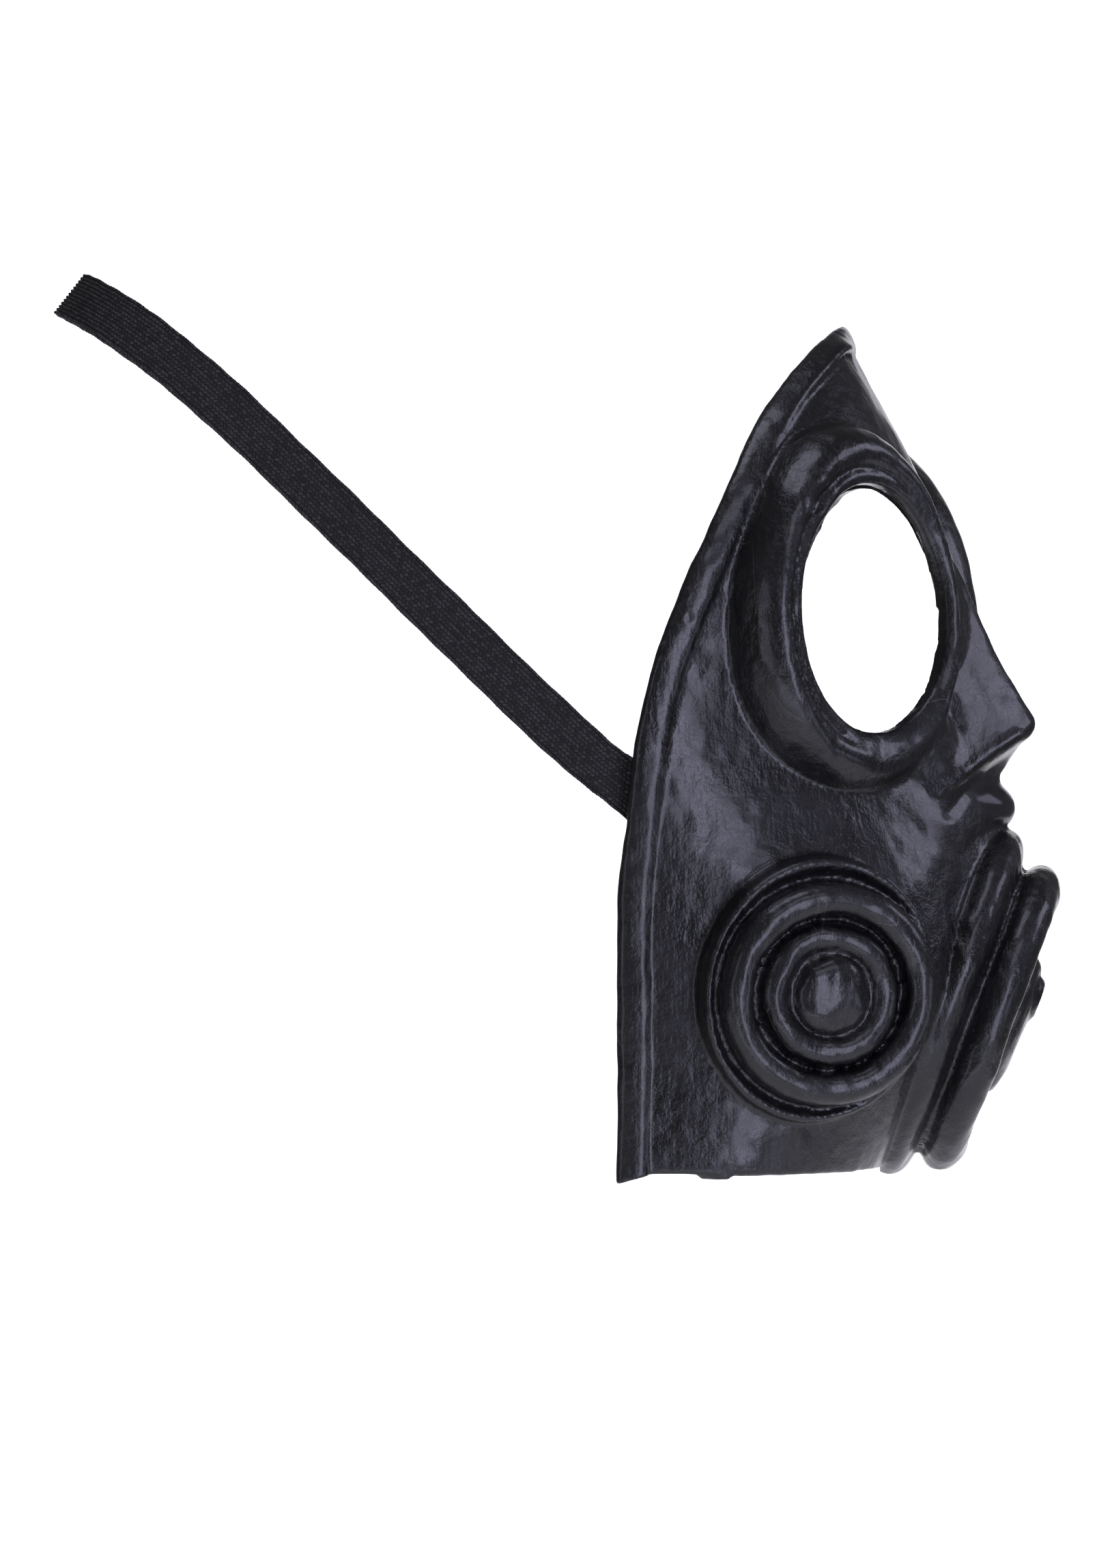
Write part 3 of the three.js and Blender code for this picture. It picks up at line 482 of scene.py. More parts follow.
CANISTER_HALF_WIDTH, CANISTER_HEIGHT, BASE_STRETCH, DISC_STRETCH = 35.4, 13.0, 1.08, 0.97
# Share of the half width, share of the height, share of the way from the tall base to the round disc.
CANISTER_SECTION = np.array([
    (1.0, -0.9, 0), (1.0, -0.4, 0), (1.0, 0.15, 0), (0.998, 0.34, 0), (0.99, 0.46, 0), (0.97, 0.53, 0.06),
    (0.955, 0.5, 0.25), (0.945, 0.4, 0.55), (0.937, 0.3, 0.85), (0.932, 0.3, 0.98), (0.93, 0.44, 1),
    (0.93, 0.62, 1), (0.92, 0.79, 1), (0.895, 0.93, 1), (0.85, 1.03, 1), (0.79, 1.06, 1), (0.73, 1.02, 1),
    (0.69, 0.93, 1), (0.668, 0.8, 1), (0.655, 0.58, 1), (0.642, 0.38, 1), (0.622, 0.38, 1), (0.61, 0.56, 1),
    (0.597, 0.74, 1), (0.565, 0.88, 1), (0.52, 0.97, 1), (0.46, 0.99, 1), (0.4, 0.92, 1), (0.365, 0.8, 1),
    (0.348, 0.66, 1), (0.337, 0.62, 1), (0.327, 0.72, 1), (0.317, 0.86, 1), (0.28, 0.99, 1), (0.2, 1.08, 1),
    (0.1, 1.14, 1), (0.0, 1.16, 1),
])
CANISTER_HOLLOW = np.array([
    (0.93, -0.82, 0), (0.9, 0.2, 0.5), (0.86, 0.9, 1), (0.72, 0.45, 1), (0.0, 0.45, 1),
])
# How far the disc sits off the middle of its base.
DISC_SHIFT = (-1.5, -0.6)


def canister(side, depth):
    """Cheek canister: a tall oval base that runs over into a round disc with two rings and a dome."""
    rows = CANISTER_HOLLOW
    if not depth:
        place = np.linspace(0, 1, 120)
        rows = np.stack([column(CANISTER_SECTION[:, k], place) for k in range(3)], axis=1)
    section = rows[:, :2] * [CANISTER_HALF_WIDTH, CANISTER_HEIGHT] - depth
    section[:, 0] = np.maximum(section[:, 0], 0.01)
    tall = BASE_STRETCH + (DISC_STRETCH - BASE_STRETCH) * rows[:, 2:]
    shift = rows[:, 2:] * np.array([[DISC_SHIFT[0] * side, DISC_SHIFT[1]]])
    place = frame_on(side, 68.6, 44.0, -109.8, 67, -5, 12)
    return put(turned(section, 200, (1, tall), shift), place)


SNOUT_RADIUS, SNOUT_LENGTH, SNOUT_NARROWING = 53.5, 30.0, 0.88
# Share of the radius, share of the length ahead of the front roll's middle.
SNOUT_SECTION = [(0.9, -1.4), (0.9, -1.0), (0.9, -0.62), (0.93, -0.57), (0.965, -0.53), (0.99, -0.47),
                 (1.0, -0.4), (0.99, -0.32), (0.955, -0.25), (0.9, -0.2), (0.85, -0.175), (0.815, -0.155),
                 (0.82, -0.125), (0.855, -0.08), (0.88, -0.01), (0.885, 0.07), (0.87, 0.15), (0.83, 0.22),
                 (0.77, 0.265), (0.71, 0.27), (0.65, 0.245), (0.58, 0.2), (0.52, 0.17), (0.46, 0.17),
                 (0.42, 0.2), (0.39, 0.27), (0.36, 0.325), (0.3, 0.36), (0.24, 0.38), (0.12, 0.395),
                 (0.0, 0.4)]
SNOUT_HOLLOW = [(0.9, -1.4), (0.9, -0.6), (0.99, -0.4), (0.86, -0.21), (0.81, -0.14), (0.86, 0.06),
                (0.74, 0.23), (0.44, 0.17), (0.0, 0.28)]
snout_frame = frame_on(1, 0, -5.4, -119.5, 0, -20.5)


def snout(depth):
    """Ribbed snout: a rear roll, a groove, a front roll and a low boss in the middle."""
    rows = np.array(SNOUT_HOLLOW) if depth else smooth_table(SNOUT_SECTION, 150)
    section = rows * [SNOUT_RADIUS, SNOUT_LENGTH]
    along = unit(np.gradient(section, axis=0))
    section = section + depth * np.stack([-along[:, 1], along[:, 0]], axis=1)
    section[:, 0] = np.maximum(section[:, 0], 0.01)
    return put(turned(section, 240, (SNOUT_NARROWING, 1)), snout_frame)


# Radius and height ahead of the snout's frame, and how far the knob sits above the middle.
KNOB_SECTION = [(0.01, 7.0), (7.2, 7.0), (6.8, 9.4), (6.3, 11.6), (5.7, 12.7), (4.6, 13.2), (3.2, 13.1),
                (0.01, 12.9)]
KNOB_RISE = 9.5


def knob():
    """Blunt knob of the valve on the snout's boss."""
    points, faces = turned(np.array(KNOB_SECTION), 48)
    points = np.array(points) + [0, KNOB_RISE, 0]
    return put((points, faces), snout_frame)


LIP_SIZE, LIP_PLACE = np.array([23.0, 20.0, 11.0]), (0, 6, -58.5)
CHEEK_SIZE, CHEEK_PLACE = np.array([11.0, 12.0, 19.0]), (27.5, 15.5, -43)


def ball_of_clay(size, place):
    """Ball pressed to the given half sizes and set at a place."""
    angle = np.linspace(-np.pi / 2, np.pi / 2, 40)
    section = np.stack([np.maximum(np.cos(angle), 0.001), np.sin(angle)], axis=1)
    points, faces = turned(section, 80)
    return np.array(points) * size + place, faces


def lip(depth):
    """Upper lip under the nose."""
    return ball_of_clay(LIP_SIZE - depth, LIP_PLACE)


def cheek_fill(side):
    """Clay smoothed into the corner between nose and goggle ring."""
    x, y, z = CHEEK_PLACE
    return ball_of_clay(CHEEK_SIZE, (side * x, y, z))


def facing_in(mesh):
    """Whether the faces of a closed mesh point inwards."""
    return sum(p.center.dot(p.normal) * p.area for p in mesh.polygons) < 0


def make_mesh(name, parts):
    """Mesh object of several closed parts given in millimetres."""
    points, faces, start = [], [], 0
    for part_points, part_faces in parts:
        points.append(np.array(part_points) * 0.001)
        faces += [tuple(start + k for k in face) for face in part_faces]
        start += len(part_points)
    mesh = bpy.data.meshes.new(name)
    mesh.from_pydata(np.concatenate(points).tolist(), [], faces)
    if facing_in(mesh):
        mesh.flip_normals()
    body = bpy.data.objects.new(name, mesh)
    bpy.context.collection.objects.link(body)
    return body


def with_modifiers(body, name):
    """Plain mesh of an object as its modifiers leave it; the object goes."""
    graph = bpy.context.evaluated_depsgraph_get()
    mesh = bpy.data.meshes.new_from_object(body.evaluated_get(graph))
    mesh.name = name
    old = body.data
    bpy.data.objects.remove(body)
    bpy.data.meshes.remove(old)
    return mesh


def run_together(name, parts, grain, rounds):
    """One skin round several overlapping closed parts, with its joints rounded a little."""
    body = make_mesh(name, parts)
    skin = body.modifiers.new("skin", "REMESH")
    skin.mode = "VOXEL"
    skin.voxel_size = grain * 0.001
    soften = body.modifiers.new("soften", "SMOOTH")
    soften.factor = 0.5
    soften.iterations = rounds
    return with_modifiers(body, name)


# Size of the skin's cells; the hollow needs no fine ones.
GRAIN, HOLLOW_GRAIN = ((0.85, 1.8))
outer_parts = [head_form(0), rim_band(), flash_tab(), nose(0), lip(0), snout(0), knob()]
inner_parts = [head_form(WALL), nose(WALL), lip(WALL), snout(WALL)]
for side in (-1, 1):
    outer_parts += [goggle_ring(side, 0), canister(side, 0), cheek_fill(side)]
    inner_parts += [goggle_ring(side, WALL), canister(side, WALL)]
outer_mesh = run_together("latex_outer", outer_parts, GRAIN, 2)


# Latex face: hand-made surface
# What the sculptor's fingers and the casting left in the latex: uneven rolls, creases by nose and mouth,
# corners worked smooth, dents and burst bubbles in the rings.
def read_points(mesh):
    """Corners of a mesh in millimetres."""
    points = np.empty(len(mesh.vertices) * 3)
    mesh.vertices.foreach_get("co", points)
    return points.reshape(-1, 3) * 1000


def read_normals(mesh):
    """Outward directions at the corners of a mesh."""
    normals = np.empty(len(mesh.vertices) * 3)
    mesh.vertices.foreach_get("normal", normals)
    return normals.reshape(-1, 3)


WAVES = 14
# Twice the usual height of the sum of that many waves.
WAVE_SUM = 5.3


def lumps(points, size, seed, stretch=(1, 1, 1)):
    """Smooth unevenness, mostly from -1 to 1, whose lumps are about a size across."""
    rng = np.random.default_rng(seed)
    total = np.zeros(len(points))
    for _ in range(WAVES):
        direction = unit(rng.normal(size=3)) * rng.uniform(0.6, 1.5) * np.pi / size / np.array(stretch)
        total += np.sin(points @ direction + rng.uniform(0, 2 * np.pi))
    return total / WAVE_SUM


def all_lumps(points, table):
    """Sum of the lumps of a table of (height, size, seed) rows."""
    return sum(height * lumps(points, size, seed) for height, size, seed in table)


def away_from_line(points, line):
    """Distance in the side view from each point to a line of (y, z) corners."""
    side = points[:, 1:3]
    best = np.full(len(points), 1e9)
    for a, b in zip(np.array(line[:-1], float), np.array(line[1:], float)):
        share = np.clip((side - a) @ (b - a) / ((b - a) @ (b - a)), 0, 1)
        best = np.minimum(best, np.linalg.norm(side - a - share[:, None] * (b - a), axis=1))
    return best


# Lines in the side view as (y, z) corners, with depth and half width; a negative depth is a ridge.
CREASES = [
    ([(-15, -37.5), (-10, -40.5), (-4.7, -44.3), (2.3, -49.4), (8, -53)], -0.8, 1.7),
    ([(-12, -49.5), (-5, -51.5), (1, -54), (5, -60)], 0.7, 1.8),
    ([(-14, -62.6), (-8, -63.5), (-3, -67), (1, -72)], 0.6, 1.8),
]
# Spots worked smooth with a wet finger, on both sides: x, y, z and radius.
SMOOTHED = [
    (16, -4, -55, 9), (9, -4, -50, 7), (23, 3, -28, 6), (27, 4, -40, 8), (32, 6, -52, 12),
    (20, -2, -50, 8), (22, 0, -60, 13), (42, 12, -64, 12), (38, 8, -74, 13),
]


def worked_smooth(mesh, spots, rounds):
    """The skin smoothed by hand round the given spots."""
    points = read_points(mesh)
    points[:, 0] = np.abs(points[:, 0])
    weight = np.zeros(len(points))
    for x, y, z, radius in spots:
        weight = np.maximum(weight, np.exp(-(np.linalg.norm(points - [x, y, z], axis=1) / radius) ** 2))
    body = bpy.data.objects.new("worked", mesh)
    bpy.context.collection.objects.link(body)
    group = body.vertex_groups.new(name="worked")
    level = np.round(weight * 10).astype(int)
    for step in range(1, 11):
        group.add(np.flatnonzero(level == step).tolist(), step / 10, "REPLACE")
    soften = body.modifiers.new("soften", "SMOOTH")
    soften.vertex_group = "worked"
    soften.factor = 0.5
    soften.iterations = rounds
    return with_modifiers(body, "latex_worked")


# Height, size and seed of the lumps on the whole shell, on the canister's disc and on its dome.
SHELL_LUMPS = [(0.36, 26, 1), (0.18, 9, 2), (0.085, 3.5, 3)]
DISC_LUMPS = [(0.4, 8, 6), (0.12, 3, 7)]
DOME_LUMPS = [(0.55, 10, 12), (0.22, 4, 13)]
# Middle of the canister in the side view, and how far out its disc and its dome reach.
DISC_MIDDLE, DISC_REACH, DOME_REACH, DISC_OUT = (39.5, -111.3), 26, 11.5, 45
# Dents and, with a negative depth, bumps: y, z, radius and depth.
DENTS = [(61.3, -4.5, 1.3, 0.2), (60.8, -14.7, 1.5, 0.26), (42.6, 29.7, 3.0, 0.4), (30.4, -42.2, 4.0, -0.5),
         (79.1, -4.4, 1.2, 0.25), (70.5, -94, 2.2, -0.3)]
DENTS_OUT = 30

outer_mesh = worked_smooth(outer_mesh, SMOOTHED, 110)
points = read_points(outer_mesh)
normals = read_normals(outer_mesh)
out_from_middle = np.abs(points[:, 0])
lift = all_lumps(points, SHELL_LUMPS)
# The snout, which is below and ahead, is rougher than the rest.
front = np.clip((25 - points[:, 1]) / 20, 0, 1) * np.clip((-62 - points[:, 2]) / 15, 0, 1)
lift += front * (0.38 * lumps(points, 15, 4, (1, 1, 1.6)) + 0.16 * lumps(points, 5, 5))
from_dome = np.hypot(points[:, 1] - DISC_MIDDLE[0], points[:, 2] - DISC_MIDDLE[1])
disc = np.exp(-(from_dome / DISC_REACH) ** 4) * (out_from_middle > DISC_OUT)
dome = np.exp(-(from_dome / DOME_REACH) ** 6) * (out_from_middle > DISC_OUT)
lift += disc * all_lumps(points, DISC_LUMPS) + dome * all_lumps(points, DOME_LUMPS)
# The creases fade out towards the middle of the nose and the lip.
beside = np.clip((out_from_middle - 1) / 7, 0, 1)
for line, depth, width in CREASES:
    lift -= depth * np.exp(-(away_from_line(points, line) / width) ** 2) * beside
for y, z, radius, depth in DENTS:
    gap = np.hypot(points[:, 1] - y, points[:, 2] - z)
    dish = np.exp(-(gap / radius) ** 2) - 0.55 * np.exp(-((gap - 1.6 * radius) / (0.5 * radius)) ** 2)
    lift -= depth * dish * (out_from_middle > DENTS_OUT)
outer_mesh.vertices.foreach_set("co", ((points + normals * lift[:, None]) * 0.001).ravel())
outer_mesh.update()

# Latex face: hollow and finished shell
# Slush casting leaves a wall that follows the outside. The inside is the outside moved in by the wall,
# open at the back, the neck and the eyes, and is cut from the outer form.
inner_mesh = run_together("latex_inner", inner_parts, HOLLOW_GRAIN, 1)
hole_mesh = make_mesh("eye_holes", [eye_hole(-1), eye_hole(1)])


def cut_away(name, mesh, cutters):
    """Mesh with the cutters taken out of it; the cutters go."""
    body = bpy.data.objects.new(name, mesh)
    bpy.context.collection.objects.link(body)
    for cutter in cutters:
        cut = body.modifiers.new("cut", "BOOLEAN")
        cut.operation = "DIFFERENCE"
        cut.solver = "MANIFOLD"
        cut.object = cutter
    result = with_modifiers(body, name)
    for cutter in cutters:
        bpy.data.objects.remove(cutter)
    return result


inner_body = bpy.data.objects.new("latex_inner", inner_mesh)
bpy.context.collection.objects.link(inner_body)
shell_mesh = cut_away("latex_face", outer_mesh, [inner_body, hole_mesh])
latex_face = bpy.data.objects.new("latex_face", shell_mesh)
bpy.context.collection.objects.link(latex_face)
TRIANGLE_LIMIT = 190000
triangles = sum(len(p.vertices) - 2 for p in shell_mesh.polygons)
if triangles > TRIANGLE_LIMIT:
    thin = latex_face.modifiers.new("thin", "DECIMATE")
    thin.ratio = TRIANGLE_LIMIT / triangles
    shell_mesh = with_modifiers(latex_face, "latex_face")
    latex_face = bpy.data.objects.new("latex_face", shell_mesh)
    bpy.context.collection.objects.link(latex_face)
shell_mesh.validate()
shell_mesh.shade_smooth()

# Natural rubber latex, cast in a plaster mould and brushed with black latex varnish. The eye gets a near
# black with satin patches, brush streaks, pinholes, specks of dust, pale bloom, fine scratches where hands
# held it, and a wet-looking top coat.
BLACK_LOW, BLACK_HIGH, WORN_COLOUR = "#060607", "#0f1014", "#665b59"
# Size or spacing in millimetres of each pattern.
PATTERNS = {"streaks": 1.6, "patches": 22, "grain": 0.7, "swell": 4.5, "pits": 5.0, "dust": 8,
            "scratches": 13, "handled": 18, "bloom": 8}
scale = {name: 1000 / size for name, size in PATTERNS.items()}
latex, tree = new_material("moulded_black_latex")
place = add_node(tree, "ShaderNodeTexCoord").outputs["Object"]
brushed = add_node(tree, "ShaderNodeMapping", None, Vector=place, Rotation=(0.6, 0.3, 0.0),
                   Scale=(1, 1, 0.16)).outputs[0]
streaks = add_node(tree, "ShaderNodeTexNoise", None, Vector=brushed, Scale=scale["streaks"], Detail=3.0)
patches = add_node(tree, "ShaderNodeTexNoise", None, Vector=place, Scale=scale["patches"], Detail=5.0,
                   Roughness=0.62)
grain = add_node(tree, "ShaderNodeTexNoise", None, Vector=place, Scale=scale["grain"], Detail=2.0)
swell = add_node(tree, "ShaderNodeTexNoise", None, Vector=place, Scale=scale["swell"], Detail=2.0)
shine = add_node(tree, "ShaderNodeMapRange", None, Value=patches.outputs[0], From_Min=0.35, From_Max=0.68,
                 To_Min=0.24, To_Max=0.44)
rough = add_node(tree, "ShaderNodeMath", {"operation": "MULTIPLY_ADD"}, i0=streaks.outputs[0], i1=0.12,
                 i2=shine.outputs[0])
# The varnish brush missed the hollow under the nose, so the lip there is bare and dull.
BARE_PLACE, BARE_SIZE = (0.0, -0.006, -0.054), (0.030, 0.013, 0.011)
bare = add_node(tree, "ShaderNodeMapping", None, Vector=place,
                Location=[-c / r for c, r in zip(BARE_PLACE, BARE_SIZE)], Scale=[1 / r for r in BARE_SIZE])
bare = add_node(tree, "ShaderNodeVectorMath", {"operation": "LENGTH"}, i0=bare.outputs[0])
bare = add_node(tree, "ShaderNodeMapRange", None, Value=bare.outputs["Value"], From_Min=0.7, From_Max=1.25,
                To_Min=0.8, To_Max=0.0)
rough = add_node(tree, "ShaderNodeMath", {"operation": "MAXIMUM"}, i0=rough.outputs[0], i1=bare.outputs[0])
pits = add_node(tree, "ShaderNodeTexVoronoi", None, Vector=place, Scale=scale["pits"])
pit = add_node(tree, "ShaderNodeMapRange", None, Value=pits.outputs["Distance"], From_Min=0.03, From_Max=0.09,
               To_Min=-1.0, To_Max=0.0)
colour = add_node(tree, "ShaderNodeMix", {"data_type": "RGBA"}, i0=shine.outputs[0],
                  i6=hex_colour(BLACK_LOW), i7=hex_colour(BLACK_HIGH))
dust_cells = add_node(tree, "ShaderNodeTexVoronoi", None, Vector=place, Scale=scale["dust"])
dust = add_node(tree, "ShaderNodeMapRange", None, Value=dust_cells.outputs["Distance"], From_Min=0.012,
                From_Max=0.022, To_Min=0.8, To_Max=0.0)
drawn = add_node(tree, "ShaderNodeMapping", None, Vector=place, Rotation=(0.9, 0.2, 0.4),
                 Scale=(1, 1, 0.12)).outputs[0]
scratches = add_node(tree, "ShaderNodeTexVoronoi", {"feature": "DISTANCE_TO_EDGE"}, Vector=drawn,
                     Scale=scale["scratches"])
scratch = add_node(tree, "ShaderNodeMapRange", None, Value=scratches.outputs[0], From_Min=0.0, From_Max=0.007,
                   To_Min=1.0, To_Max=0.0)
handled = add_node(tree, "ShaderNodeTexNoise", None, Vector=place, Scale=scale["handled"], Detail=1.0)
handled = add_node(tree, "ShaderNodeMapRange", None, Value=handled.outputs[0], From_Min=0.52, From_Max=0.62,
                   To_Min=0.0, To_Max=0.5)
scratch = add_node(tree, "ShaderNodeMath", {"operation": "MULTIPLY"}, i0=scratch.outputs[0],
                   i1=handled.outputs[0])
bloom = add_node(tree, "ShaderNodeTexNoise", None, Vector=place, Scale=scale["bloom"], Detail=7.0,
                 Roughness=0.72)
bloom = add_node(tree, "ShaderNodeMapRange", None, Value=bloom.outputs[0], From_Min=0.6, From_Max=0.74,
                 To_Min=0.0, To_Max=0.3)
scuffs = add_node(tree, "ShaderNodeMath", {"operation": "MAXIMUM"}, i0=dust.outputs[0], i1=scratch.outputs[0])
scuffs = add_node(tree, "ShaderNodeMath", {"operation": "MAXIMUM"}, i0=scuffs.outputs[0], i1=bloom.outputs[0])
worn = add_node(tree, "ShaderNodeMix", {"data_type": "RGBA"}, i0=scuffs.outputs[0], i6=colour.outputs[2],
                i7=hex_colour(WORN_COLOUR))
height = add_node(tree, "ShaderNodeMath", {"operation": "MULTIPLY_ADD"}, i0=streaks.outputs[0], i1=1.5,
                  i2=grain.outputs[0])
height = add_node(tree, "ShaderNodeMath", {"operation": "MULTIPLY_ADD"}, i0=swell.outputs[0], i1=4.2,
                  i2=height.outputs[0])
height = add_node(tree, "ShaderNodeMath", {"operation": "MULTIPLY_ADD"}, i0=pit.outputs[0], i1=1.6,
                  i2=height.outputs[0])
relief = add_node(tree, "ShaderNodeBump", None, Strength=0.8, Distance=0.0002, Height=height.outputs[0])
shader = add_node(tree, "ShaderNodeBsdfPrincipled", None, Base_Color=worn.outputs[2],
                  Roughness=rough.outputs[0], IOR=1.52, Normal=relief.outputs[0], Coat_Weight=0.42,
                  Coat_Roughness=0.15)
add_node(tree, "ShaderNodeOutputMaterial", None, Surface=shader.outputs[0])
shell_mesh.materials.clear()
shell_mesh.materials.append(latex)
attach(latex_face, "root")
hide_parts("face_shell")


# Elastic strap
# One loop of 15 mm knitted elastic, from a staple inside the right rim round the back of the head to
# a staple inside the left one. Its two faces are rows of knitted loops over rubber cords.
# Across, back and up in millimetres and slope of the band in degrees, from the right end to the turn.
STRAP_COURSE = np.array([
    (-71.8, 72.6, -72.7, 40.0),
    (-74.4, 84.3, -62.8, 40.0),
    (-77.0, 96.0, -53.0, 40.5),
    (-74.3, 108.8, -42.9, 41.5),
    (-68.8, 129.7, -23.4, 43.0),
    (-63.4, 150.6, -3.2, 44.0),
    (-57.9, 171.7, 17.3, 44.5),
    (-52.1, 193.0, 37.9, 44.0),
    (-45.5, 214.4, 58.1, 43.0),
    (-38.9, 231.6, 72.7, 41.5),
    (-29.6, 246.7, 83.6, 39.5),
    (-17.1, 258.1, 90.1, 38.5),
    (0.0, 263.4, 92.3, 38.5),
])
STRAP_LEAN = 0.044
# Where the left arm starts to lean and how far on it leans in full.
LEAN_START, LEAN_RUN = 79, 37
STITCH_PITCH, RIBS, STRAP_WIDTH, STRAP_MARGIN, CORE_THICKNESS, LOOP_TILT = 1.35, 13, 14.8, 0.5, 0.5, 0.33


def strap_course():
    """Both arms of the strap; the left one leans back a little, as limp elastic does."""
    left = STRAP_COURSE[-2::-1].copy()
    past = np.clip((left[:, 1] - LEAN_START) / LEAN_RUN, 0, 1)
    left[:, 1] -= 2 * left[:, 0] * STRAP_LEAN * past * past * (3 - 2 * past)
    left[:, 0] *= -1
    return np.concatenate([STRAP_COURSE, left])


def strap_frames(place):
    """Centre, direction, width direction and face direction of the band at places from 0 to 1."""
    course = strap_course()

    def centre(at):
        """Point on the middle line of the band."""
        return np.stack([column(course[:, k], at, 0) for k in range(3)], axis=-1)

    at = np.clip(place, 0.003, 0.997)
    along = unit(centre(at + 0.002) - centre(at - 0.002))
    slope = np.radians(column(course[:, 3], at, 0))
    wide = np.stack([np.zeros_like(slope), -np.sin(slope), np.cos(slope)], axis=-1)
    wide = unit(wide - along * np.sum(wide * along, axis=-1, keepdims=True))
    return centre(place), along, wide, np.cross(along, wide)


fine_place = np.linspace(0.02, 0.98, 3000)
fine_line = strap_frames(fine_place)[0]
fine_reach = np.concatenate([[0], np.cumsum(np.linalg.norm(np.diff(fine_line, axis=0), axis=1))])
rows = int(fine_reach[-1] / STITCH_PITCH)
place = np.interp(np.linspace(0, fine_reach[-1], rows), fine_reach, fine_place)
centre, along, wide, face = strap_frames(place)
across = np.linspace(-1, 1, RIBS) * (STRAP_WIDTH / 2 - STRAP_MARGIN)
across = np.concatenate([across, across[::-1]])
facing = np.repeat([1.0, -1.0], RIBS)
# The ribs wander a little, and each row is pulled in or let out by the knitting.
wander = 1 + 0.012 * np.sin(place * 310) + 0.01 * np.sin(place * 97 + 1)
stagger = (np.arange(2 * RIBS) % 2) * 0.5 * STITCH_PITCH
rings = (centre[:, None] + wide[:, None] * (across[None, :] * wander[:, None])[..., None]
         + face[:, None] * (facing * CORE_THICKNESS / 2)[None, :, None]
         + along[:, None] * stagger[None, :, None])
points, faces = closed(rings)
core = bpy.data.meshes.new("elastic_core")
core.from_pydata((np.array(points) * 0.001).tolist(), [], faces)
if facing_in(core):
    core.flip_normals()
# The loops of the outermost ribs lean out over the edge, and ribs lean left and right in turn.
at_edge = np.abs(np.abs(across) - np.abs(across).max()) < 1e-6
sideways = 0.7 * at_edge * np.sign(across)
out = facing[None, :, None] * face[:, None] + sideways[None, :, None] * wide[:, None]
tilt = np.where(np.arange(2 * RIBS) % 2 == 0, LOOP_TILT, -LOOP_TILT) * np.ones((rows, 1))
loops = {
    "along": np.broadcast_to(along[:, None], rings.shape).reshape(-1, 3),
    "outward": unit(out).reshape(-1, 3),
    "tilt": tilt.ravel(),
    "is_loop": np.ones(rings.shape[0] * rings.shape[1]),
}
for name, values in loops.items():
    vector = values.ndim == 2
    padded = np.zeros((len(core.vertices), 3) if vector else len(core.vertices))
    padded[:len(values)] = values
    layer = core.attributes.new(name, "FLOAT_VECTOR" if vector else "FLOAT", "POINT")
    layer.data.foreach_set("vector" if vector else "value", padded.ravel())

# Narrow knitted elastic: textured polyester yarn in matt black, knitted tight over rubber cords. The
# eye gets a dry dark rib; each loop's colour is mixed at random towards a paler tone, a painted glint where
# single loops catch the light.
# The pale yarn tone is a painted glint that stands in for light caught by a loop.
YARN_DARK, YARN_PAINTED_GLINT, FIBRE_SIZE = "#252423", "#484745", 0.25
elastic, tree = new_material("knitted_black_elastic")
place_node = add_node(tree, "ShaderNodeTexCoord").outputs["Object"]
# Each loop's share of painted glint, mixing the yarn's colour from dark towards the pale painted-glint tone.
painted_glint = add_node(tree, "ShaderNodeAttribute", {"attribute_name": "painted_glint"}).outputs["Fac"]
fibre = add_node(tree, "ShaderNodeTexNoise", None, Vector=place_node, Scale=1000 / FIBRE_SIZE, Detail=2.0)
yarn = add_node(tree, "ShaderNodeMix", {"data_type": "RGBA"}, i0=painted_glint,
                i6=hex_colour(YARN_DARK), i7=hex_colour(YARN_PAINTED_GLINT))
relief = add_node(tree, "ShaderNodeBump", None, Strength=0.5, Distance=0.00008, Height=fibre.outputs[0])
shader = add_node(tree, "ShaderNodeBsdfPrincipled", None, Base_Color=yarn.outputs[2], Roughness=0.78,
                  Normal=relief.outputs[0], Sheen_Weight=0.12, Sheen_Roughness=0.5,
                  Sheen_Tint=hex_colour("#8f9096"))
add_node(tree, "ShaderNodeOutputMaterial", None, Surface=shader.outputs[0])

# One loop of yarn on each point of the two faces.
knit = bpy.data.node_groups.new("knit", "GeometryNodeTree")
knit.interface.new_socket("Geometry", in_out="OUTPUT", socket_type="NodeSocketGeometry")
knit.interface.new_socket("Geometry", in_out="INPUT", socket_type="NodeSocketGeometry")
knit_inputs = {
    "Loop Length": ("Float", 0.0017),
    "Loop Width": ("Float", 0.00098),
    "Loop Height": ("Float", 0.00105),
    "Unevenness": ("Float", 0.14),
    "Seed": ("Int", 7),
    "Yarn": ("Material", elastic),
}
sockets = {}
for name, (kind, _) in knit_inputs.items():
    socket = knit.interface.new_socket(name, in_out="INPUT", socket_type="NodeSocket" + kind)
    sockets[name] = socket.identifier
given = knit.nodes.new("NodeGroupInput").outputs
loop = add_node(knit, "GeometryNodeMeshUVSphere", None, Segments=4, Rings=3, Radius=0.5)
along_node = add_node(knit, "GeometryNodeInputNamedAttribute", {"data_type": "FLOAT_VECTOR"}, Name="along")
out_node = add_node(knit, "GeometryNodeInputNamedAttribute", {"data_type": "FLOAT_VECTOR"}, Name="outward")
tilt_node = add_node(knit, "GeometryNodeInputNamedAttribute", {"data_type": "FLOAT"}, Name="tilt")
chosen = add_node(knit, "GeometryNodeInputNamedAttribute", {"data_type": "FLOAT"}, Name="is_loop")
aim = add_node(knit, "FunctionNodeAlignRotationToVector", {"axis": "Z"}, Vector=along_node.outputs[0])
aim = add_node(knit, "FunctionNodeAlignRotationToVector", {"axis": "X", "pivot_axis": "Z"},
               Rotation=aim.outputs[0], Vector=out_node.outputs[0])
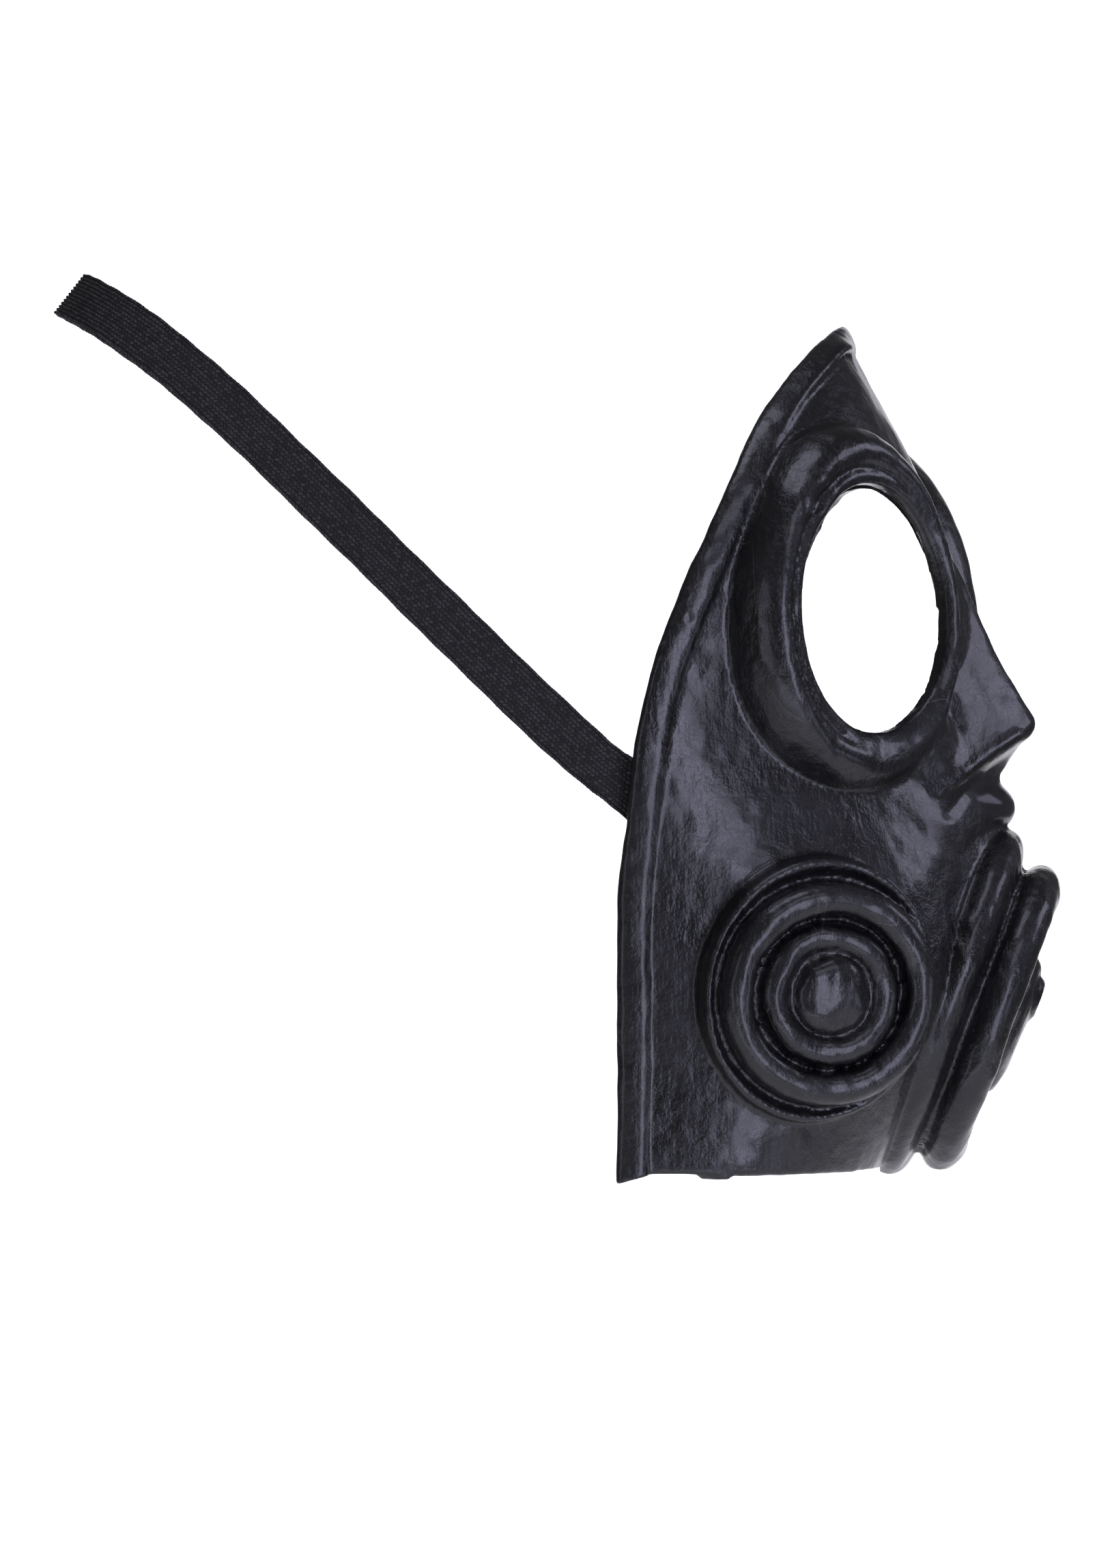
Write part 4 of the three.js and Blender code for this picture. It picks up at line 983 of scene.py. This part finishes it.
uneven = add_node(knit, "FunctionNodeRandomValue", {"data_type": "FLOAT"}, i2=-1.0, i3=1.0,
                  Seed=given["Seed"])
turn = add_node(knit, "ShaderNodeMath", {"operation": "MULTIPLY_ADD"}, i0=uneven.outputs[1],
                i1=given["Unevenness"], i2=tilt_node.outputs[0])
turn = add_node(knit, "FunctionNodeAxisAngleToRotation", None, Axis=(1, 0, 0), Angle=turn.outputs[0])
aim = add_node(knit, "FunctionNodeRotateRotation", {"rotation_space": "LOCAL"}, i0=aim.outputs[0],
               i1=turn.outputs[0])
size = add_node(knit, "ShaderNodeCombineXYZ", None, X=given["Loop Height"], Y=given["Loop Width"],
                Z=given["Loop Length"])
grow = add_node(knit, "ShaderNodeMath", {"operation": "MULTIPLY_ADD"}, i0=uneven.outputs[1],
                i1=0.06, i2=1.0)
size = add_node(knit, "ShaderNodeVectorMath", {"operation": "SCALE"}, i0=size.outputs[0],
                Scale=grow.outputs[0])
loops_node = add_node(knit, "GeometryNodeInstanceOnPoints", None, Points=given["Geometry"],
                      Selection=chosen.outputs[0], Instance=loop.outputs[0], Rotation=aim.outputs[0],
                      Scale=size.outputs[0])
# Random share of painted glint for each loop, stored on the loop for the yarn's colour.
glint_chance = add_node(knit, "FunctionNodeRandomValue", {"data_type": "FLOAT"}, i2=0.0, i3=1.0,
                  Seed=given["Seed"])
glint_marked = add_node(knit, "GeometryNodeStoreNamedAttribute", {"data_type": "FLOAT", "domain": "INSTANCE"},
                  Geometry=loops_node.outputs[0], Name="painted_glint", Value=glint_chance.outputs[1])
real = add_node(knit, "GeometryNodeRealizeInstances", None, Geometry=glint_marked.outputs[0])
joined = add_node(knit, "GeometryNodeJoinGeometry", None, Geometry=real.outputs[0])
knit.links.new(given["Geometry"], joined.inputs[0])
smooth = add_node(knit, "GeometryNodeSetShadeSmooth", None, Geometry=joined.outputs[0])
dyed = add_node(knit, "GeometryNodeSetMaterial", None, Geometry=smooth.outputs[0], Material=given["Yarn"])
knit.links.new(dyed.outputs[0], knit.nodes.new("NodeGroupOutput").inputs[0])

strap_body = bpy.data.objects.new("elastic_strap_knit", core)
bpy.context.collection.objects.link(strap_body)
knitting = strap_body.modifiers.new("knit", "NODES")
knitting.node_group = knit
for name, (_, value) in knit_inputs.items():
    knitting[sockets[name]] = value
strap_mesh = with_modifiers(strap_body, "elastic_strap_knit")
strap_body = bpy.data.objects.new("elastic_strap_knit", strap_mesh)
bpy.context.collection.objects.link(strap_body)
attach(strap_body, "root")
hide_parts("elastic_strap")


# Staples
# Two staples of galvanised round wire, bent flat over the strap's ends and driven outwards into the latex
# behind the rim. The material is drawn steel wire with a thin zinc coat: the eye gets a pale grey metal
# with soft reflections.
steel, tree = new_material("galvanised_staple_wire")
shader = add_node(tree, "ShaderNodeBsdfPrincipled", None, Base_Color=hex_colour("#b9bbbe"), Metallic=1.0,
                  Roughness=0.34)
add_node(tree, "ShaderNodeOutputMaterial", None, Surface=shader.outputs[0])


WIRE_RADIUS, WIRE_BEND, CROWN_REACH, CROWN_LEVEL, LEG_END = 0.55, 0.6, 7.8, -1.05, -0.3


def wire_staple(name, side):
    """Round wire bent to a flat crown with two short legs, set over the strap at one end."""
    course = strap_course()[:3] if side < 0 else strap_course()[:-4:-1]
    along = unit(course[2, :3] - course[0, :3])
    slope = math.radians(course[1, 3])
    wide = np.array([0, -math.sin(slope), math.cos(slope)])
    wide = unit(wide - along * (wide @ along))
    outwards = np.cross(along, wide) * -side
    half = [(-CROWN_REACH - WIRE_BEND, LEG_END)]
    half += [(-CROWN_REACH - WIRE_BEND * math.cos(a), CROWN_LEVEL - WIRE_BEND * math.sin(a))
             for a in np.linspace(0, np.pi / 2, 6)]
    path = np.array(half + [(-x, y) for x, y in half[::-1]])
    middle = course[1, :3] + path[:, :1] * wide + path[:, 1:] * outwards
    ahead = unit(np.gradient(middle, axis=0))
    angle = np.linspace(0, 2 * np.pi, 12, endpoint=False)
    beside = np.cross(ahead, along)
    rings = (middle[:, None] + WIRE_RADIUS * np.cos(angle)[None, :, None] * along
             + WIRE_RADIUS * np.sin(angle)[None, :, None] * beside[:, None])
    body = make_mesh(name + "_wire", [closed(rings)])
    body.data.shade_smooth()
    body.data.materials.append(steel)
    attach(body, "root")
    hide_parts(name)


wire_staple("staple_right", -1)
wire_staple("staple_left", 1)
